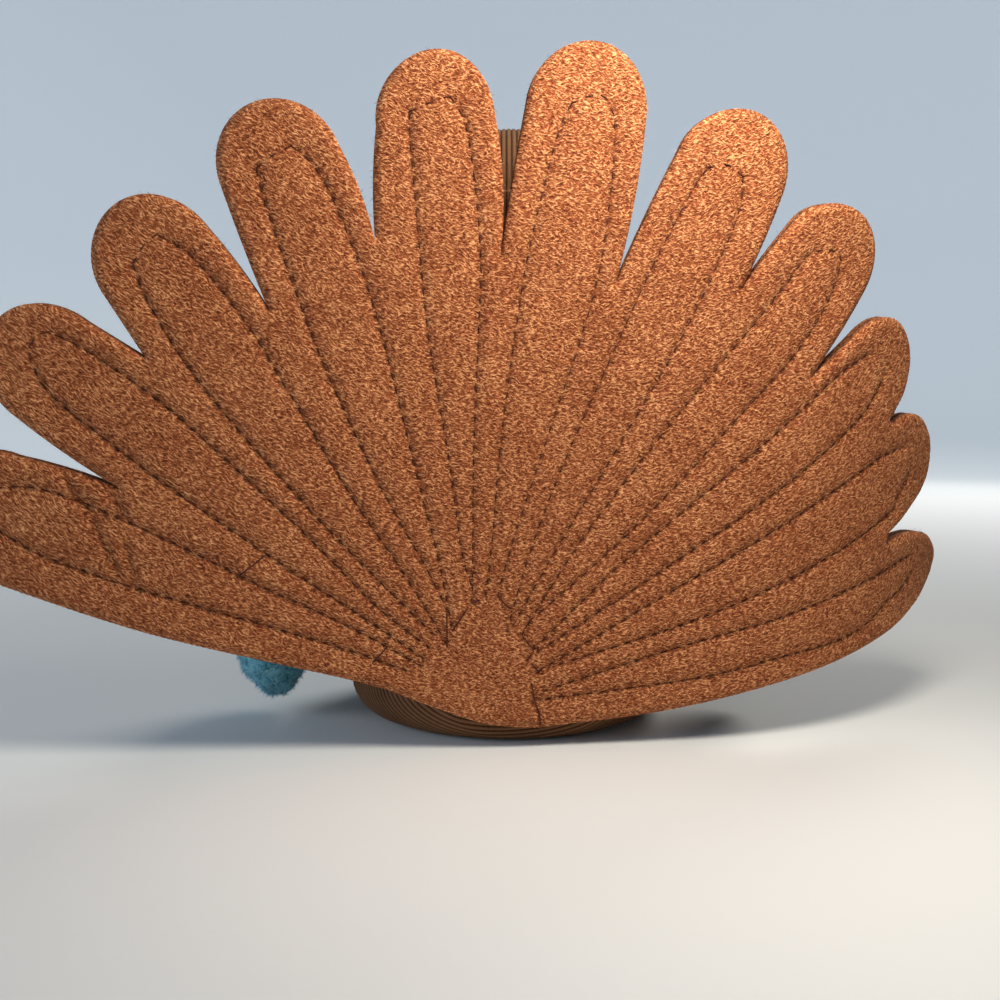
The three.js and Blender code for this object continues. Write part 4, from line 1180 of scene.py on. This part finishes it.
def feltStrip(name, path, halves, normals, sides, thick, material):
    # one thick cut of felt: a rounded cross-section carried along its middle line
    ringPoints = cutForm["ringPoints"]
    ring = []
    for a in ringTurns(ringPoints):
        c, h = math.cos(a), math.sin(a)
        ring.append((math.copysign(abs(c) ** cutForm["squareAcross"], c),
                     math.copysign(abs(h) ** cutForm["squareThrough"], h)))
    points = []
    for p, half, n, s in zip(path, halves, normals, sides):
        full = cutForm["thinEnd"] + (1 - cutForm["thinEnd"]) * min(1, half / cutForm["narrow"])
        for c, h in ring:
            points.append(np.array(p) + np.array(s) * c * half + np.array(n) * h * thick / 2 * full)
    faces = ringFaces(len(path), ringPoints)
    faces += [tuple(end * ringPoints + k for k in range(ringPoints)) for end in (0, len(path) - 1)]
    return weldAndSmooth(meshPiece(name, points, faces, material), 2e-6)


def snoodStrip():
    middle = beakRadius(face["snoodSetback"]) + face["snoodClear"] + face["snoodThick"] / 2
    wrap, steps = math.radians(face["snoodWrap"]), face["snoodSteps"]
    path, normals = [], []
    for k in range(steps + 1):
        a = wrap * (1 - k / steps)
        path.append((middle * math.cos(a), middle * math.sin(a)))
        normals.append((math.cos(a), math.sin(a)))
    for k in range(1, steps + 1):
        drop = face["snoodDrop"] * k / steps
        path.append((middle + face["snoodWave"] * math.sin(drop / face["snoodWaveRun"]), -drop))
        normals.append((1, 0))
    half = face["snoodWidth"] / 2
    run = runAlong(np.array(path))
    halves = []
    for r, left in zip(run, run[-1] - run):  # rounded at its end, narrower where it is sewn on
        rounded = half * math.sqrt(max(0.02, 1 - max(0, 1 - left / half) ** 2))
        halves.append(rounded * (0.9 + 0.1 * math.cos(left / 5)) * min(1, 0.75 + 0.25 * r / 3))
    turn = beakStand.to_3x3()
    forward = face["snoodSetback"] + half
    return feltStrip("snoodFelt", [beakStand @ Vector((x, y, forward)) for x, y in path], halves,
                     [turn @ Vector((*n, 0)) for n in normals], [turn @ Vector((0, 0, 1))] * len(path),
                     face["snoodThick"], redFelt)


def wattleStrip():
    top, tab = Vector(face["wattleTop"]), face["wattleTab"]
    half, length, steps = face["wattleHalf"], face["wattleLength"], face["wattleSteps"]
    path, halves = [], []
    for k in range(steps + 1):
        drop = (length + tab) * k / steps - tab
        straight = half / 3 + (half - half / 3) * min(1, max(0, drop) / (length - half))
        ending = math.sqrt(max(0.003, 1 - max(0, (drop - (length - half)) / half) ** 2))
        bow = -face["wattleBow"] * math.sin(math.pi * max(0, drop) / length)
        path.append(top + Vector((0, bow, -drop)))
        halves.append(straight * ending)
    return feltStrip("wattleFelt", path, halves, [Vector((0, -1, 0))] * len(path),
                     [Vector((1, 0, 0))] * len(path), face["wattleThick"], redFelt)


snood = snoodStrip()
wattle = wattleStrip()
place(snood, "snood", "red_felt", "snood")
place(wattle, "wattle", "red_felt", "wattle")
for name, cut, body in (("snoodFuzz", snood, "snood"), ("wattleFuzz", wattle, "wattle")):
    place(fibresOn(name, cut, redNap, redFibre), body, "red_felt")
print("face sewn on")


# wings: fleece leaves, stuffed, hanging from the shoulders; left is 1 and right is -1

wing = {"length": {1: 106, -1: 103.2}, "width": 46, "thickness": 15, "bow": 8, "splay": 23, "sweep": 6.5,
        "rootHeight": 101, "rootDepth": 4, "around": 40,
        "swell": [(0, 0), (0.42, 0.03), (0.6, 0.14), (0.88, 0.36), (1, 0.6), (0.76, 0.82), (0.4, 0.95),
                  (0, 1)],
        # the filling sinks to the end, and the left wing's end bulges outwards
        "fullness": [(0, 1), (0.5, 1), (0.75, 1.35), (0.87, 1.75), (0.95, 1.7), (1, 1.3)],
        "flare": {1: 6.0, -1: 0.0}, "flareFrom": 0.5, "flareRun": 0.38,
        "cloth": 1.3, "filledTo": 76, "voxel": 2.0, "pressure": 4, "airFrames": 20, "mostMove": 1.4,
        "lumps": 1.0, "lumpSize": 4.2, "bodyGap": 0.9, "floorGap": 1.0}
fleecePile = {"density": 2600000.0, "length": 1.5, "width": 0.2, "arch": 0.4, "lift": 0.4, "spread": 3.1,
              "nap": (0.0, 0.2, -1.0)}


def fleeceMaterial():
    # Brushed polyester fleece: long loose pile matted into soft curls, with a painted highlight on the curls
    # and painted shade in the hollows.
    material, tree, shader = newMaterial("tealPolyesterFleece")
    at = addNode(tree, "ShaderNodeTexCoord").outputs["Object"]
    curl = addNode(tree, "ShaderNodeTexNoise", {
        "Vector": at, "Scale": 1 / (3.2 * mm), "Detail": 4.0, "Distortion": 0.9})
    # the curls' height sets the colour: painted highlight on top, painted shade in the hollows
    colours = addNode(tree, "ShaderNodeValToRGB", {0: curl.outputs[0]})
    setStops(colours, (0.3, "#2a6b7d"), (0.5, "#58a2b4"), (0.72, "#98cfdb"))
    relief = addNode(tree, "ShaderNodeBump", {
        "Height": curl.outputs[0], "Distance": 0.7 * mm, "Strength": 0.8})
    setInputs(tree, shader, {
        "Base Color": colours.outputs[0], "Normal": relief.outputs[0], "Roughness": 0.95,
        "Specular IOR Level": 0.2, "Sheen Weight": 0.4, "Sheen Tint": srgb("#cfeaec")})
    return material


def keepMesh(piece):  # applies the modifiers that a piece carries
    mesh = evaluatedMesh(piece)
    piece.modifiers.clear()
    old, piece.data = piece.data, mesh
    bpy.data.meshes.remove(old)


def puffOut(piece):  # stuffs a closed cover by air pressure, then holds each point near where it started
    before = np.array([v.co for v in piece.data.vertices])
    cloth = piece.modifiers.new("stuffing", "CLOTH")
    cloth.settings.use_pressure = True
    cloth.settings.uniform_pressure_force = wing["pressure"]
    cloth.settings.effector_weights.gravity = 0
    cloth.collision_settings.use_collision = False
    cloth.point_cache.frame_start, cloth.point_cache.frame_end = 1, wing["airFrames"]
    for moment in range(1, wing["airFrames"] + 1):
        bpy.context.scene.frame_set(moment)
    keepMesh(piece)
    bpy.context.scene.frame_set(1)
    move = np.array([v.co for v in piece.data.vertices]) - before
    length = np.linalg.norm(move, axis=1)[:, None]
    move *= np.minimum(1, wing["mostMove"] * mm / np.maximum(length, 1e-9))
    piece.data.vertices.foreach_set("co", (before + move).ravel())


def wingLeaf(name, side, material):  # a flattened bag, bowed round the body
    leaf = np.maximum(smoothThrough(wing["swell"], 12), 0)
    points = []
    for swell, share in leaf:
        half = wing["thickness"] / 2 * swell * np.interp(share, *zip(*wing["fullness"]))
        bulge = wing["flare"][side] * ramp01((share - wing["flareFrom"]) / wing["flareRun"])
        bulge *= min(1, swell / 0.5)
        for a in ringTurns(wing["around"]):
            x = half * math.cos(a) + wing["bow"] * 4 * share * (1 - share)
            x += bulge * (1 + math.cos(a)) / 2
            points.append((x, wing["width"] / 2 * swell * math.sin(a), -share * wing["length"][side]))
    inside = bodyRadius(wing["rootHeight"]) - wing["rootDepth"]
    stand = (Matrix.Translation((inside, 0, wing["rootHeight"]))
             @ Matrix.Rotation(-math.radians(wing["splay"]), 4, "Y")
             @ Matrix.Rotation(math.radians(wing["sweep"]), 4, "X"))
    points = np.array([stand @ Vector(p) for p in points]) * (side, 1, 1)
    faces = ringFaces(len(leaf), wing["around"])
    return weldAndSmooth(meshPiece(name, points, faces, material), 2e-6)


def wingCover(name, side, material):
    piece = wingLeaf(name, side, material)
    piece.modifiers.new("evenMesh", "REMESH").mode = "VOXEL"
    piece.modifiers["evenMesh"].voxel_size = wing["voxel"] * mm
    keepMesh(piece)
    puffOut(piece)
    finer = piece.modifiers.new("finer", "SUBSURF")
    finer.levels = finer.render_levels = 1
    keepMesh(piece)
    spots = np.array([v.co for v in piece.data.vertices]) / mm
    facing = np.array([v.normal for v in piece.data.vertices])
    size = wing["lumpSize"]
    curls = lumpsAt(spots, size, 5.0 * side) + 0.5 * lumpsAt(spots, size / 2, 9.0 * side)
    spots += facing * (curls * wing["lumps"])[:, None]
    far = np.hypot(spots[:, 0], spots[:, 1])  # it lies on the body, not in it, and clear of the floor
    beside = (spots[:, 2] > bodyForm["seam"]) & (spots[:, 2] < bodyForm["neck"])
    least = np.where(beside, bodyRadius(spots[:, 2]) + wing["bodyGap"], 0)
    spots[:, :2] *= np.maximum(1, least / np.maximum(far, 1e-6))[:, None]
    spots[:, 2] = np.maximum(spots[:, 2], wing["floorGap"])
    piece.data.vertices.foreach_set("co", (spots * mm).ravel())
    piece.data.materials.clear()
    piece.data.materials.append(material)
    return weldAndSmooth(piece)


def wingFilling(name, cover, material):  # lies a cloth's thickness inside its cover, short of the root
    spots = np.array([v.co - v.normal * wing["cloth"] * mm for v in cover.data.vertices]) / mm
    piece = meshPiece(name, spots, [tuple(f.vertices) for f in cover.data.polygons], material)
    form = bmesh.new()
    form.from_mesh(piece.data)
    bmesh.ops.bisect_plane(form, geom=[*form.verts, *form.edges, *form.faces],
                           plane_co=(0, 0, wing["filledTo"] * mm), plane_no=(0, 0, 1), clear_outer=True)
    form.to_mesh(piece.data)
    form.free()
    return weldAndSmooth(piece, closeHoles=True)


tealFleece = fleeceMaterial()
tealFibre = fibreMaterial("tealFleeceFibres", "#468fa2", "#a9dbe5")
for name, body, side in (("leftWing", "left_wing", 1), ("rightWing", "right_wing", -1)):
    cover = wingCover(name, side, tealFleece)
    place(cover, body, "wing_fleece", body + "_cover")
    filling = wingFilling(name + "Filling", cover, fibreFill)
    place(filling, body, "fibre_fill", body + "_stuffing")
    pile = place(fibresOn(name + "Pile", cover, fleecePile, tealFibre), body, "wing_fleece")
    print(name, len(cover.data.polygons), "and", len(pile.data.polygons), "faces")
